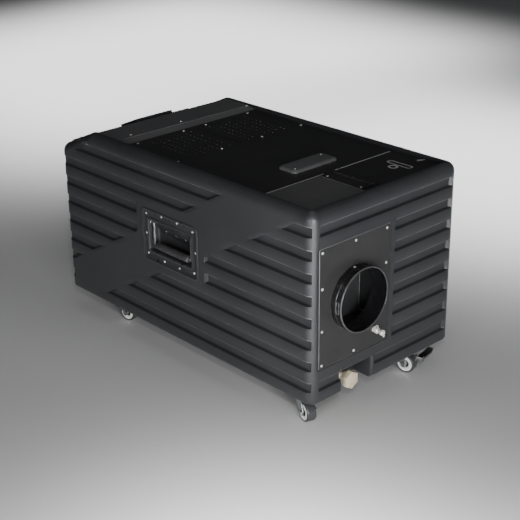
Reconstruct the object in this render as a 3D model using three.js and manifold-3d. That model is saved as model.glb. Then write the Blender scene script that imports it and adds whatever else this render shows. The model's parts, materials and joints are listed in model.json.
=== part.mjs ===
// Wheeled low-fog machine: a grooved plastic casing on four swivel casters, with a round fog outlet on its
// front face, a hinged filler lid in its top panel, a recessed spring handle on each side and a sloping
// control panel at the back. Millimetres, +Z up, the floor at Z = 0, the outlet facing -Y.
//
// Inside this file every piece is placed in the casing's own frame: X from the middle, Y back from the front
// face, Z up from the casing's bottom edge. The last group lifts that frame onto the casters.

import * as THREE from 'three';
import { mergeVertices } from 'three/addons/utils/BufferGeometryUtils.js';
import { ConvexGeometry } from 'three/addons/geometries/ConvexGeometry.js';
import Module from 'manifold-3d';

// ---------------------------------------------------------------- driving dimensions

const WIDTH = 500;
const LENGTH = 950;
const HEIGHT = 477;
const GROUND_GAP = 70;
const REACH = 31; // how far the outlet stands out of the front face
const FIT = 0.3; // clearance between neighbouring pieces
const HALF = WIDTH / 2;

const CORNER = 24;
const FOOT_ROUND = 10;
const WALL = 19;
const CEILING = HEIGHT - 24;
const RIDGE_Y = 812;
const REAR_TOP = 423;

const RIM = 22;
const PANEL_TOP = HEIGHT - 12;
const PANEL_THICK = 2;
const PANEL_BACK = 694;
const DECK_Z = HEIGHT - 7;
const STEP = 22; // length of the slope from the panel's back edge up to the deck

const GROOVE_COUNT = 8;
const GROOVE_PITCH = 54.8;
const GROOVE_TOP_ROW = 417.5;
const GROOVE_HEIGHT = 24.7;
const GROOVE_DEPTH = 9;
const BAND_SLOPE = 1.78; // the smooth diagonal band across each side leans this far back per unit down
const BAND_FRONT = 95;
const BAND_BACK = 345;

const PLATE = { x0: -226, x1: 9, z0: 87.5, z1: 387, thick: 2, inset: 3 };
const DUCT = { x: -109, z: 239, radius: 80, wall: 2 };
const PLENUM = { half: 83, back: 60, wall: 2.5 };
const POCKET = { x0: -147, x1: -45, depth: 58, height: 56, wall: 6 };
const DRAIN = { x: -112, z: 19.5 };
const LID = { x0: -220, x1: -39, y0: 36, y1: 181, hinge: -4 };
const VENT = { first: 32.5, across: 21.3, columns: 7, y0: 508, along: 15.2, rows: 11, reach: 3.5 };
const HANDLE = { y0: 386, y1: 603, z0: 191, z1: 334 };
const DISH = { y0: 410, y1: 576, z0: 222, z1: 306, depth: 34, wall: 2 };
const BAIL = { y0: 421, y1: 565, pivotZ: 296, gripZ: 236, inset: 9, radius: 4 };
const REAR = { half: 120, z0: 100, z1: 300 };
const TANK = { x0: -205, x1: -13, y0: 60.3, y1: 400, z0: 64, z1: 350, wall: 3 };
const FAN = { x: -109, z: 270, size: 60, depth: 25, y: TANK.y1 + FIT };
const FOG = { y: 330, z: 170 };
const FLOAT = { x: -45, y: 230, stem: 2.5 };
const BOTTLE = { x: 135, y: 150, top: 292 };
const FLOOR = 4; // top of the base plate
const SUPPLY_TOP = 64;

const SLOPE_DROP = DECK_Z - REAR_TOP - 2;
const SLOPE = Math.atan2(SLOPE_DROP, LENGTH - RIM - RIDGE_Y);
const BUTTON = { xs: [62, 84, 106, 128], along: 68, half: 6.5 };
const DISPLAY = { x0: -80, x1: 39, frame: 8 };
const HINGE = { radius: 3, pin: 1.4, z: PANEL_TOP + 4, y0: 50, y1: 172, knuckles: 5 };
const INLET = { x: -60, z: 250, halfX: 16, halfZ: 13 };
const SWITCH = { x: 0, y: LENGTH - 6.5, z: 250, halfX: 10, halfZ: 7, tip: 8 };
const SOCKETS = [{ name: 'data_socket_in', x: 45 }, { name: 'data_socket_out', x: 85 }];
const SOCKET_Z = 250;
const REAR_FACE = LENGTH - 0.6;

const WHEEL = { radius: 25, width: 25, rim: 20, trail: 25 };
const WHEEL_Z = -GROUND_GAP + WHEEL.radius;
const PEDAL = { x: 26, y: -48, z: WHEEL_Z + 6, half: 8.5, reach: 84 };
const CASTERS = [
  { tag: 'front_left', x: -201.5, y: 76, turn: -17.5, brake: false },
  { tag: 'front_right', x: 136, y: 69, turn: 12, brake: true },
  { tag: 'rear_left', x: -185, y: 799, turn: 10, brake: false },
  { tag: 'rear_right', x: 136, y: 799, turn: 8, brake: true },
];

// ---------------------------------------------------------------- finishes

function finish(color, roughness, metalness) {
  return new THREE.MeshStandardMaterial({ color, roughness, metalness });
}

const FINISH = {
  casing: finish(0x2b2c2e, 0.55, 0),
  satin: finish(0x1b1c1d, 0.4, 0.3),
  gloss: finish(0x0c0c0d, 0.15, 0.3),
  nickel: finish(0xc9c5b8, 0.3, 1),
  steel: finish(0x9b9da0, 0.35, 1),
  brass: finish(0xd9c07a, 0.35, 1),
  white: finish(0xe6e6e2, 0.5, 0),
  rubber: finish(0x1a1a1a, 0.8, 0),
  tyre: finish(0x6c6e70, 0.6, 0),
  glass: finish(0x0b1a22, 0.1, 0),
  tank: finish(0xbfc4c6, 0.5, 0),
  circuit: finish(0x1d5a32, 0.6, 0),
  alloy: finish(0xaeb0b3, 0.45, 0.9),
};

// ---------------------------------------------------------------- solids

const wasm = await Module();
wasm.setup();

// One closed solid from any closed three.js geometry, turned the right way out.
function solid(geometry) {
  const bare = geometry.clone();
  bare.deleteAttribute('normal');
  bare.deleteAttribute('uv');
  const merged = mergeVertices(bare, 1e-4);
  const vertProperties = Float32Array.from(merged.attributes.position.array);
  const triVerts = Uint32Array.from(merged.index.array);
  const made = new wasm.Manifold(new wasm.Mesh({ numProp: 3, vertProperties, triVerts }));
  if (made.volume() > 0) return made;
  triVerts.reverse();
  return new wasm.Manifold(new wasm.Mesh({ numProp: 3, vertProperties, triVerts }));
}

function geometryOf(body) {
  const { vertProperties, triVerts } = body.getMesh();
  const geometry = new THREE.BufferGeometry();
  geometry.setAttribute('position', new THREE.BufferAttribute(vertProperties, 3));
  geometry.setIndex(new THREE.BufferAttribute(triVerts, 1));
  const flat = geometry.toNonIndexed();
  flat.computeVertexNormals();
  return flat;
}

const join = (first, ...rest) => rest.reduce((sum, next) => sum.add(next), first);
const cut = (first, ...rest) => rest.reduce((sum, next) => sum.subtract(next), first);

function block(x0, x1, y0, y1, z0, z1) {
  const geometry = new THREE.BoxGeometry(x1 - x0, y1 - y0, z1 - z0);
  return solid(geometry.translate((x0 + x1) / 2, (y0 + y1) / 2, (z0 + z1) / 2));
}

function outline(points) {
  return new THREE.Shape(points.map(([a, b]) => new THREE.Vector2(a, b)));
}

function roundedOutline(a0, a1, b0, b1, radius) {
  const shape = new THREE.Shape();
  shape.moveTo(a0 + radius, b0);
  shape.absarc(a1 - radius, b0 + radius, radius, -Math.PI / 2, 0);
  shape.absarc(a1 - radius, b1 - radius, radius, 0, Math.PI / 2);
  shape.absarc(a0 + radius, b1 - radius, radius, Math.PI / 2, Math.PI);
  shape.absarc(a0 + radius, b0 + radius, radius, Math.PI, Math.PI * 1.5);
  return shape;
}

const X = new THREE.Vector3(1, 0, 0);
const Y = new THREE.Vector3(0, 1, 0);
const Z = new THREE.Vector3(0, 0, 1);

function extrude(shape, length, curveSegments) {
  return new THREE.ExtrudeGeometry(shape, { depth: length, bevelEnabled: false, curveSegments });
}

// An outline in X, Y raised from z0 to z1.
function planPrism(shape, z0, z1, curveSegments = 4) {
  return solid(extrude(shape, z1 - z0, curveSegments).translate(0, 0, z0));
}

// An outline in Y, Z drawn out from x0 to x1.
function sidePrism(shape, x0, x1, curveSegments = 4) {
  const axes = new THREE.Matrix4().makeBasis(Y, Z, X);
  return solid(extrude(shape, x1 - x0, curveSegments).applyMatrix4(axes).translate(x0, 0, 0));
}

// An outline in X, Z drawn out from y0 to y1.
function frontPrism(shape, y0, y1, curveSegments = 4) {
  const axes = new THREE.Matrix4().makeBasis(X, Z, Y.clone().negate());
  return solid(extrude(shape, y1 - y0, curveSegments).applyMatrix4(axes).translate(0, y1, 0));
}

// A round bar along one axis, from one place on that axis to another.
function bar(axis, radius, from, to, centre, sides = 16) {
  const geometry = new THREE.CylinderGeometry(radius, radius, to - from, sides);
  if (axis === X) geometry.rotateZ(-Math.PI / 2);
  if (axis === Z) geometry.rotateX(Math.PI / 2);
  const middle = centre.clone().addScaledVector(axis, (from + to) / 2);
  return solid(geometry.translate(middle.x, middle.y, middle.z));
}

// A turned piece: its profile, [radius, distance along the axis], is spun about a line parallel to the axis.
function turned(axis, profile, centre, sides = 24) {
  const geometry = new THREE.LatheGeometry(profile.map(([r, s]) => new THREE.Vector2(r, s)), sides);
  if (axis === X) geometry.rotateZ(-Math.PI / 2);
  if (axis === Z) geometry.rotateX(Math.PI / 2);
  return solid(geometry.translate(centre.x, centre.y, centre.z));
}

// A ring whose hole and outside are both round.
function ring(axis, inner, outer, from, to, centre, sides = 24) {
  const profile = [[inner, from], [outer, from], [outer, to], [inner, to], [inner, from]];
  return turned(axis, profile, centre, sides);
}

// A bent rod of one radius along a smooth route.
function pipe(points, radius, steps) {
  const route = new THREE.CatmullRomCurve3(points.map(([x, y, z]) => new THREE.Vector3(x, y, z)));
  const section = new THREE.Shape();
  section.absarc(0, 0, radius, 0, Math.PI * 2);
  const options = { steps, extrudePath: route, curveSegments: 5, bevelEnabled: false };
  return solid(new THREE.ExtrudeGeometry(section, options));
}

const at = (x, y, z) => new THREE.Vector3(x, y, z);

const machine = new THREE.Group();
function add(name, body, look, holder = machine) {
  const mesh = new THREE.Mesh(geometryOf(body), look);
  mesh.name = name;
  holder.add(mesh);
  return mesh;
}

// ---------------------------------------------------------------- casing

// Points of a ball's skin, enough to round a corner of a hull.
function ballPoints(x, y, z, radius, steps = 16) {
  const points = [];
  for (let layer = 0; layer <= steps / 2; layer += 1) {
    const tilt = (layer / (steps / 2) - 0.5) * Math.PI;
    for (let turn = 0; turn < steps; turn += 1) {
      const spin = (turn / steps) * Math.PI * 2;
      const flat = radius * Math.cos(tilt);
      points.push(at(x + flat * Math.cos(spin), y + flat * Math.sin(spin), z + radius * Math.sin(tilt)));
    }
  }
  return points;
}

function circlePoints(x, y, z, radius, steps = 16) {
  return Array.from({ length: steps }, (_, turn) => {
    const spin = (turn / steps) * Math.PI * 2;
    return at(x + radius * Math.cos(spin), y + radius * Math.sin(spin), z);
  });
}

// The rounded outside, with the rear of the top sloping down to the back face.
function casingHull() {
  const points = [];
  const side = HALF - CORNER;
  const tops = [
    [CORNER, HEIGHT - CORNER],
    [RIDGE_Y - 5, HEIGHT - CORNER],
    [LENGTH - CORNER, REAR_TOP - CORNER],
  ];
  for (const x of [-side, side]) {
    for (const [y, z] of tops) points.push(...ballPoints(x, y, z, CORNER));
    for (const y of [CORNER, LENGTH - CORNER]) {
      points.push(...circlePoints(x, y, 0, CORNER - FOOT_ROUND));
      points.push(...circlePoints(x, y, FOOT_ROUND * 0.3, CORNER - FOOT_ROUND * 0.3));
      points.push(...circlePoints(x, y, FOOT_ROUND, CORNER));
    }
  }
  return solid(new ConvexGeometry(points));
}

function casingInside() {
  const profile = [
    [WALL, -20],
    [LENGTH - WALL, -20],
    [LENGTH - WALL, REAR_TOP - 26],
    [RIDGE_Y - 8, CEILING],
    [WALL, CEILING],
  ];
  const side = HALF - WALL;
  const plan = roundedOutline(-side, side, WALL, LENGTH - WALL, 6);
  return sidePrism(outline(profile), -HALF, HALF).intersect(planPrism(plan, -30, HEIGHT, 2));
}

const grooveZ = (row) => GROOVE_TOP_ROW - GROOVE_PITCH * (row - 1);

// Horizontal grooves along both sides, open at the rear corners and stopped by the diagonal band and by the
// handle field.
function sideGrooves() {
  const rows = Array.from({ length: GROOVE_COUNT }, (_, i) => grooveZ(i + 1));
  const slabs = join(...rows.map((z) => block(-HALF - 5, HALF + 5, -5, LENGTH + 5, z, z + GROOVE_HEIGHT)));
  const core = block(-HALF + GROOVE_DEPTH, HALF - GROOVE_DEPTH, -9, LENGTH + 9, -9, HEIGHT);
  const bandY = (start, z) => start + (GROOVE_TOP_ROW - z) * BAND_SLOPE;
  const behindBand = outline([
    [bandY(BAND_BACK, HEIGHT), HEIGHT],
    [bandY(BAND_BACK, 0), 0],
    [bandY(BAND_BACK, 0) + 10, HEIGHT],
  ]);
  const frontEnd = 8;
  const beforeBand = outline([
    [frontEnd, 0],
    [bandY(BAND_FRONT, 0), 0],
    [frontEnd, GROOVE_TOP_ROW + (BAND_FRONT - frontEnd) / BAND_SLOPE],
  ]);
  const reach = HALF + 4;
  const bands = join(sidePrism(behindBand, -reach, reach), sidePrism(beforeBand, -reach, reach));
  const handleField = block(-reach, reach, 363, 626, grooveZ(5) - 1, grooveZ(3) + GROOVE_HEIGHT + 1);
  return cut(slabs.subtract(core).intersect(bands), handleField);
}

// Grooves of the back face, which stop short of the corners and of the rear plate.
function backGrooves() {
  const reach = HALF - CORNER - 12;
  const side = REAR.half + 22;
  const rows = Array.from({ length: GROOVE_COUNT }, (_, i) => grooveZ(i + 1));
  const front = LENGTH - GROOVE_DEPTH;
  const slabs = rows.map((z) => block(-reach, reach, front, LENGTH + 5, z, z + GROOVE_HEIGHT));
  return join(...slabs).subtract(block(-side, side, LENGTH - 60, LENGTH + 9, REAR.z0 - 22, REAR.z1 + 34));
}

// Grooves of the front face: the first and last rows run across it, the others stop at the front plate.
function frontGrooves() {
  const right = 228;
  const rows = Array.from({ length: GROOVE_COUNT }, (_, i) => {
    const z = grooveZ(i + 1);
    const wide = i === 0 || i === GROOVE_COUNT - 1;
    return block(wide ? -228 : 26, right, -5, GROOVE_DEPTH, z, z + GROOVE_HEIGHT);
  });
  return join(...rows);
}

function deckRecess() {
  const profile = [
    [PANEL_BACK + STEP - 1, DECK_Z],
    [RIDGE_Y, DECK_Z],
    [LENGTH - 22, REAR_TOP + 2],
    [LENGTH - 22, HEIGHT + 9],
    [PANEL_BACK + STEP - 1, HEIGHT + 9],
  ];
  return sidePrism(outline(profile), -HALF + RIM, HALF - RIM);
}

// The panel lies in a recess whose back edge slopes up to the deck behind it.
function panelRecess() {
  const floor = PANEL_TOP - PANEL_THICK - FIT;
  const profile = [
    [RIM, floor],
    [PANEL_BACK + FIT, floor],
    [PANEL_BACK + FIT, PANEL_TOP],
    [PANEL_BACK + STEP, DECK_Z],
    [PANEL_BACK + STEP, HEIGHT + 9],
    [RIM, HEIGHT + 9],
  ];
  return sidePrism(outline(profile), -HALF + RIM, HALF - RIM);
}

function casing() {
  const hull = casingHull();
  const shell = cut(
    hull,
    casingInside(),
    sideGrooves(),
    frontGrooves(),
    backGrooves(),
    panelRecess(),
    deckRecess(),
    block(-205, 205, 45, 672, CEILING - 5, HEIGHT + 9),
    block(-120, 150, RIDGE_Y + 15, LENGTH - 45, REAR_TOP - 60, HEIGHT + 9),
    block(PLATE.x0, PLATE.x1, -5, PLATE.inset, PLATE.z0, PLATE.z1),
    block(PLATE.x0 + 14, PLATE.x1 - 14, -5, WALL + 1, PLATE.z0 + 14, PLATE.z1 - 14),
    block(-REAR.half, REAR.half, LENGTH - 3, LENGTH + 5, REAR.z0, REAR.z1),
    block(-REAR.half + 15, REAR.half - 15, LENGTH - 30, LENGTH + 5, REAR.z0 + 15, REAR.z1 - 15),
    block(-HALF - 5, HALF + 5, DISH.y0 - 3, DISH.y1 + 3, DISH.z0 - 3, DISH.z1 + 3),
  );
  const { x0, x1, depth, height, wall } = POCKET;
  const pocket = block(x0 - wall, x1 + wall, WALL - 3, depth + wall, 0, height + wall);
  return cut(
    shell.add(pocket),
    block(x0, x1, -5, depth, -5, height),
    bar(Y, 15, depth - 5, depth + 20, at(DRAIN.x, 0, DRAIN.z)),
  );
}

function basePlate() {
  const side = HALF - WALL - FIT;
  const sheet = planPrism(roundedOutline(-side, side, WALL + FIT, LENGTH - WALL - FIT, 8), 0, FLOOR, 2);
  const gap = POCKET.wall + FIT;
  return sheet.subtract(block(POCKET.x0 - gap, POCKET.x1 + gap, -5, POCKET.depth + gap, -5, 10));
}

// ---------------------------------------------------------------- top

// A diamond-shaped perforation that goes through the panel.
function perforation(x, y) {
  const { reach } = VENT;
  const shape = outline([[x - reach, y], [x, y - reach], [x + reach, y], [x, y + reach]]);
  return planPrism(shape, PANEL_TOP - PANEL_THICK - 1, PANEL_TOP + 1);
}

// Two fields of perforations, one each side of the middle, with every second column set back half a step.
function ventFields() {
  const holes = [];
  for (const hand of [-1, 1]) {
    for (let column = 0; column < VENT.columns; column += 1) {
      const stagger = column % 2;
      for (let row = 0; row < VENT.rows - stagger; row += 1) {
        const x = VENT.first + column * VENT.across;
        holes.push(perforation(hand * x, VENT.y0 + (row + stagger / 2) * VENT.along));
      }
    }
  }
  return holes;
}

function topPanel() {
  const side = HALF - RIM - FIT;
  const plan = roundedOutline(-side, side, RIM + FIT, PANEL_BACK, 8);
  const rebate = 14;
  const { x0, x1, y0, y1 } = LID;
  return cut(
    planPrism(plan, PANEL_TOP - PANEL_THICK, PANEL_TOP, 2),
    block(x0 + rebate, x1 - rebate, y0 + rebate, y1 - rebate, PANEL_TOP - 9, PANEL_TOP + 9),
    ...ventFields(),
  );
}

// A low rounded cover in the middle of the panel.
function receiverCover() {
  const shape = roundedOutline(-74, 78, 231, 293, 14);
  const options = {
    depth: 3, bevelThickness: 4, bevelSize: 5, bevelOffset: -5, bevelSegments: 2, curveSegments: 3,
  };
  const geometry = new THREE.ExtrudeGeometry(shape, options);
  const pad = solid(geometry.translate(0, 0, PANEL_TOP + FIT));
  return pad.subtract(block(-HALF, HALF, 0, LENGTH, PANEL_TOP - 20, PANEL_TOP + FIT));
}

function knuckle(index) {
  const pitch = (HINGE.y1 - HINGE.y0) / HINGE.knuckles;
  return [HINGE.y0 + index * pitch + FIT, HINGE.y0 + (index + 1) * pitch - FIT];
}

// The leaf fixed to the panel, with every second knuckle and the pin through them all.
function lidHingeBase() {
  const centre = at(LID.hinge, 0, HINGE.z);
  let leaf = block(LID.hinge + 5, LID.hinge + 26, HINGE.y0, HINGE.y1, PANEL_TOP + FIT, PANEL_TOP + 1.8);
  leaf = leaf.add(bar(Y, HINGE.pin, HINGE.y0, HINGE.y1, centre, 10));
  for (let index = 0; index < HINGE.knuckles; index += 2) {
    const [from, to] = knuckle(index);
    const lug = block(LID.hinge - 1, LID.hinge + 6, from, to, PANEL_TOP + FIT, PANEL_TOP + 1.8);
    leaf = join(leaf, bar(Y, HINGE.radius, from, to, centre, 12), lug);
  }
  return leaf;
}

// The lid plate with its hinge strap, which carries the other knuckles.
function fillLid() {
  const bottom = PANEL_TOP + FIT;
  const plate = planPrism(roundedOutline(LID.x0, LID.x1, LID.y0, LID.y1, 6), bottom, bottom + 1.6, 2);
  const strap = block(LID.x1 - 3, LID.hinge - 3.6, HINGE.y0, HINGE.y1, bottom + 1, bottom + 2.8);
  let lid = plate.add(strap);
  const centre = at(LID.hinge, 0, HINGE.z);
  for (let index = 1; index < HINGE.knuckles; index += 2) {
    const [from, to] = knuckle(index);
    const lug = block(LID.hinge - 4, LID.hinge - 1, from, to, bottom + 1, bottom + 2.8);
    const eye = bar(Y, HINGE.radius, from, to, centre, 12).add(lug);
    lid = lid.add(eye.subtract(bar(Y, HINGE.pin + FIT, from - 1, to + 1, centre, 10)));
  }
  return lid;
}

// ---------------------------------------------------------------- front

function frontPlate() {
  const gap = 0.5;
  const back = PLATE.inset - FIT;
  const sheet = frontPrism(
    roundedOutline(PLATE.x0 + gap, PLATE.x1 - gap, PLATE.z0 + gap, PLATE.z1 - gap, 3),
    back - PLATE.thick, back, 1,
  );
  return sheet.subtract(bar(Y, DUCT.radius - 1, -5, 9, at(DUCT.x, 0, DUCT.z), 32));
}

// The outlet: a straight tube through the plate, with a bead round it and a rolled lip.
function outletDuct() {
  const inner = DUCT.radius - DUCT.wall - 1.5;
  const outer = DUCT.radius - 1.5;
  const profile = [
    [inner, PLENUM.back - 42], [outer, PLENUM.back - 42], [outer, -10.5], [outer + 1, -11.5],
    [outer + 1, -12.5], [outer, -13.5], [outer, -REACH + 5], [DUCT.radius, -REACH + 4], [DUCT.radius, -REACH + 1],
    [DUCT.radius - 1, -REACH], [inner, -REACH], [inner, PLENUM.back - 42],
  ];
  return turned(Y, profile, at(DUCT.x, 0, DUCT.z), 32);
}

// A square box that leads from the water tank to the round outlet.
function outletPlenum() {
  const { half, back, wall } = PLENUM;
  const outer = block(DUCT.x - half, DUCT.x + half, PLATE.inset, back, DUCT.z - half, DUCT.z + half);
  const thin = half - wall;
  return outer.subtract(block(DUCT.x - thin, DUCT.x + thin, -5, back + 5, DUCT.z - thin, DUCT.z + thin));
}

// A stem out of the plate with a hexagonal nut on it and a rounded end.
function hoseConnector() {
  const centre = at(-41, 0, 130);
  const face = PLATE.inset - FIT - PLATE.thick - FIT;
  const hexagon = bar(Y, 8.4, -14, -5, centre, 6);
  const profile = [
    [0, -REACH], [6, -REACH], [7.4, -REACH + 2], [7.4, -REACH + 9], [5, -REACH + 11], [5, face - 3], [7, face - 3],
    [7, face], [0, face], [0, -REACH],
  ];
  return hexagon.add(turned(Y, profile, centre, 16));
}

// The threaded pipe from the bottom of the tank to the cap in the drain pocket.
function drainPipe() {
  const bend = [[110, TANK.z0 - FIT], [110, 46], [104, 33], [92, DRAIN.z], [78, DRAIN.z]];
  const down = pipe(bend.map(([y, z]) => [DRAIN.x, y, z]), 12, 8);
  const thread = bar(Y, 13, 6, 80, at(DRAIN.x, 0, DRAIN.z), 16);
  const lockNut = bar(Y, 20, POCKET.depth - 10, POCKET.depth - FIT, at(DRAIN.x, 0, DRAIN.z), 6);
  return join(down, thread, lockNut);
}

// A hexagonal cap, hollow at the back where it takes the thread.
function drainCap() {
  const centre = at(DRAIN.x, 0, DRAIN.z);
  const head = bar(Y, 23, 0.5, 14, centre, 6);
  const collar = bar(Y, 17.5, 13, 22, centre, 20);
  return join(head, collar).subtract(bar(Y, 13 + FIT, 6 - FIT, 30, centre, 16));
}

// ---------------------------------------------------------------- rear

const SHEET = { lift: 0.4, thick: 2.2 };

// Y, Z of a place on the control face: so far down the slope from the ridge, so high above the face.
function onSlope(along, height) {
  const ridge = DECK_Z + SHEET.lift + SHEET.thick;
  return [
    RIDGE_Y + along * Math.cos(SLOPE) + height * Math.sin(SLOPE),
    ridge - along * Math.sin(SLOPE) + height * Math.cos(SLOPE),
  ];
}

// A box square to the control face.
function slopeBox(x0, x1, along0, along1, height0, height1) {
  const corners = [[along0, height0], [along1, height0], [along1, height1], [along0, height1]];
  return sidePrism(outline(corners.map(([along, height]) => onSlope(along, height))), x0, x1);
}

// Bent sheet: a flange screwed to the deck and the sloping control face.
function controlPanel() {
  const front = PANEL_BACK + STEP + 3;
  const side = HALF - RIM - FIT;
  const foot = LENGTH - RIM - 4;
  const drop = (foot - RIDGE_Y) * Math.tan(SLOPE);
  const bottom = DECK_Z + SHEET.lift;
  const top = bottom + SHEET.thick;
  const profile = outline([
    [front, bottom], [RIDGE_Y, bottom], [foot, bottom - drop],
    [foot, top - drop], [RIDGE_Y, top], [front, top],
  ]);
  const { xs, along, half } = BUTTON;
  const room = half + 0.4;
  const holes = xs.map((x) => slopeBox(x - room, x + room, along - room, along + room, -9, 9));
  return cut(sidePrism(profile, -side, side), ...holes);
}

// A raised frame round the display, higher at the ridge end.
function displayHousing() {
  const profile = outline([onSlope(12, FIT), onSlope(96, FIT), onSlope(96, 6), onSlope(12, 9)]);
  const { x0, x1, frame } = DISPLAY;
  return sidePrism(profile, x0, x1).subtract(slopeBox(x0 + frame, x1 - frame, 22, 84, -9, 19));
}

function displayWindow() {
  const { x0, x1, frame } = DISPLAY;
  return slopeBox(x0 + frame + FIT, x1 - frame - FIT, 22 + FIT, 84 - FIT, FIT, 4);
}

// A square key that stands out of the control face and slides straight into it.
function menuButton(x) {
  const { along, half } = BUTTON;
  return slopeBox(x - half, x + half, along - half, along + half, -8, 2.5);
}

function rearPlate() {
  const gap = 0.5;
  const half = REAR.half - gap;
  const sheet = block(-half, half, REAR_FACE - 2, REAR_FACE, REAR.z0 + gap, REAR.z1 - gap);
  const round = SOCKETS.map(({ x }) => bar(Y, 12, LENGTH - 9, LENGTH + 9, at(x, 0, SOCKET_Z), 20));
  const opening = ({ x, z, halfX, halfZ }, spare) => block(
    x - halfX - spare, x + halfX + spare, LENGTH - 9, LENGTH + 9, z - halfZ - spare, z + halfZ + spare,
  );
  return cut(sheet, opening(INLET, 0), opening(SWITCH, 0.8), ...round);
}

// An appliance inlet: a deep rounded recess with three blades.
function powerInlet() {
  const { x, z } = INLET;
  const halfX = INLET.halfX - FIT;
  const halfZ = INLET.halfZ - FIT;
  const shell = block(x - halfX, x + halfX, LENGTH - 24, REAR_FACE, z - halfZ, z + halfZ);
  const recess = block(x - 12.5, x + 12.5, LENGTH - 19, LENGTH + 2, z - 9, z + 9);
  const blades = [-7, 0, 7].map((step, i) => block(
    x + step - 1, x + step + 1, LENGTH - 20, LENGTH - 5, z - 2.5 + (i % 2) * 3.5, z + 2.5 + (i % 2) * 3.5,
  ));
  return join(shell.subtract(recess), ...blades);
}

// A rocker that tips about its middle, standing with its right-hand end out.
function powerSwitch() {
  const { x, y, z, halfX, halfZ, tip } = SWITCH;
  const face = 4.5;
  const profile = outline([[-halfX, -4], [halfX, -4], [halfX, face], [0, face - 2], [-halfX, face]]);
  const rocker = geometryOf(planPrism(profile, z - halfZ, z + halfZ));
  return solid(rocker.rotateZ(THREE.MathUtils.degToRad(tip)).translate(x, y, 0));
}

function dataSocket(x) {
  const centre = at(x, 0, SOCKET_Z);
  const cup = bar(Y, 12 - FIT, LENGTH - 22, REAR_FACE, centre, 16);
  const recess = ring(Y, 3.5, 9, LENGTH - 16, LENGTH + 2, centre, 16);
  return cup.subtract(recess);
}

// ---------------------------------------------------------------- inside

// The tank's filler neck, which flares into a funnel just under the panel's filler opening.
function fillerNeck() {
  const x = (LID.x0 + LID.x1) / 2;
  const y = (LID.y0 + LID.y1) / 2;
  const top = PANEL_TOP - PANEL_THICK - FIT;
  const foot = TANK.z1 - 1 - top;
  const profile = [
    [40, foot], [43, foot], [43, -30], [54, -3], [60, -3], [60, 0], [52, 0], [40, -30], [40, foot],
  ];
  return turned(Z, profile, at(x, y, top), 16);
}

// The water tank; mist leaves by the opening in its front wall and the fan blows in through its back wall.
function waterTank() {
  const { x0, x1, y0, y1, z0, z1, wall } = TANK;
  const outer = block(x0, x1, y0, y1, z0, z1);
  const fill = at((LID.x0 + LID.x1) / 2, (LID.y0 + LID.y1) / 2, 0);
  const feet = [[x0, 90], [x0, y1 - 20], [x1 - 20, 90], [x1 - 20, y1 - 20]].map(
    ([x, y]) => block(x, x + 20, y, y + 20, FLOOR + FIT, z0 + 1),
  );
  return cut(
    join(outer, fillerNeck(), ...feet),
    block(x0 + wall, x1 - wall, y0 + wall, y1 - wall, z0 + wall, z1 - wall),
    block(-176, -116, y0 - 5, y0 + wall + 5, 190, 300),
    bar(Y, 52, y1 - wall - 5, y1 + 5, at(FAN.x, 0, FAN.z), 20),
    bar(Z, 39.5, z1 - wall - 5, z1 + 5, fill, 20),
    bar(Z, 11, z0 - 5, z0 + wall + 5, at(DRAIN.x, 110, 0), 12),
    bar(X, 11, x1 - wall - 5, x1 + 5, at(0, FOG.y, FOG.z), 12),
  );
}

// The ultrasonic block on the tank's floor, with its row of discs and the stem of the level float.
function ultrasonicModule() {
  const floor = TANK.z0 + TANK.wall + FIT;
  let body = block(-180, -60, 170, 290, floor, floor + 30);
  for (let row = 0; row < 2; row += 1) {
    for (let column = 0; column < 3; column += 1) {
      const spot = at(-160 + column * 40, 200 + row * 60, 0);
      body = body.subtract(bar(Z, 12, floor + 26, floor + 40, spot, 12));
    }
  }
  const arm = block(-62, -44, 222, 238, floor, floor + 6);
  const stem = bar(Z, FLOAT.stem, floor, floor + 90, at(FLOAT.x, FLOAT.y, 0), 8);
  const stop = bar(Z, 6, floor + 86, floor + 90, at(FLOAT.x, FLOAT.y, 0), 8);
  return join(body, arm, stem, stop);
}

function levelFloat() {
  const low = TANK.z0 + TANK.wall + 6 + 2 * FIT;
  return ring(Z, FLOAT.stem + 0.7, 12, low, low + 22, at(FLOAT.x, FLOAT.y, 0), 12);
}

function fanFrame() {
  const { x, z, size, depth, y } = FAN;
  const square = frontPrism(roundedOutline(x - size, x + size, z - size, z + size, 5), y, y + depth, 2);
  const centre = at(x, 0, z);
  let frame = square.subtract(bar(Y, size - 3, y - 5, y + depth + 5, centre, 24));
  for (let spoke = 0; spoke < 4; spoke += 1) {
    const strut = block(-2, 2, y + depth - 4, y + depth, 10, size - 1);
    const turn = new THREE.Matrix4().makeRotationY((spoke + 0.5) * (Math.PI / 2));
    turn.setPosition(x, 0, z);
    frame = frame.add(solid(geometryOf(strut).applyMatrix4(turn)));
  }
  return frame.add(bar(Y, 17, y + depth - 4, y + depth, centre, 16));
}

// A hub with seven twisted blades.
function fanRotor() {
  const { x, z, size, depth, y } = FAN;
  const blades = 7;
  let rotor = bar(Y, 18, y + 2, y + depth - 5, at(0, 0, 0), 16);
  for (let blade = 0; blade < blades; blade += 1) {
    const paddle = new THREE.BoxGeometry(20, 2, size - 20);
    paddle.rotateZ(0.6);
    paddle.translate(0, y + depth / 2 - 2, (size - 20) / 2 + 14);
    paddle.rotateY((blade / blades) * Math.PI * 2);
    rotor = rotor.add(solid(paddle));
  }
  return solid(geometryOf(rotor).translate(x, 0, z));
}

// The cast heater with cooling ribs along its top.
function heaterBlock() {
  let body = block(60, 170, 300, 540, 30, 100);
  for (let rib = 0; rib < 6; rib += 1) {
    const x = 64 + rib * 18.4;
    body = body.add(block(x, x + 10, 304, 536, 99, 112));
  }
  for (const y of [310, 520]) body = body.add(block(100, 130, y, y + 12, FLOOR + FIT, 31));
  return body;
}

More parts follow.
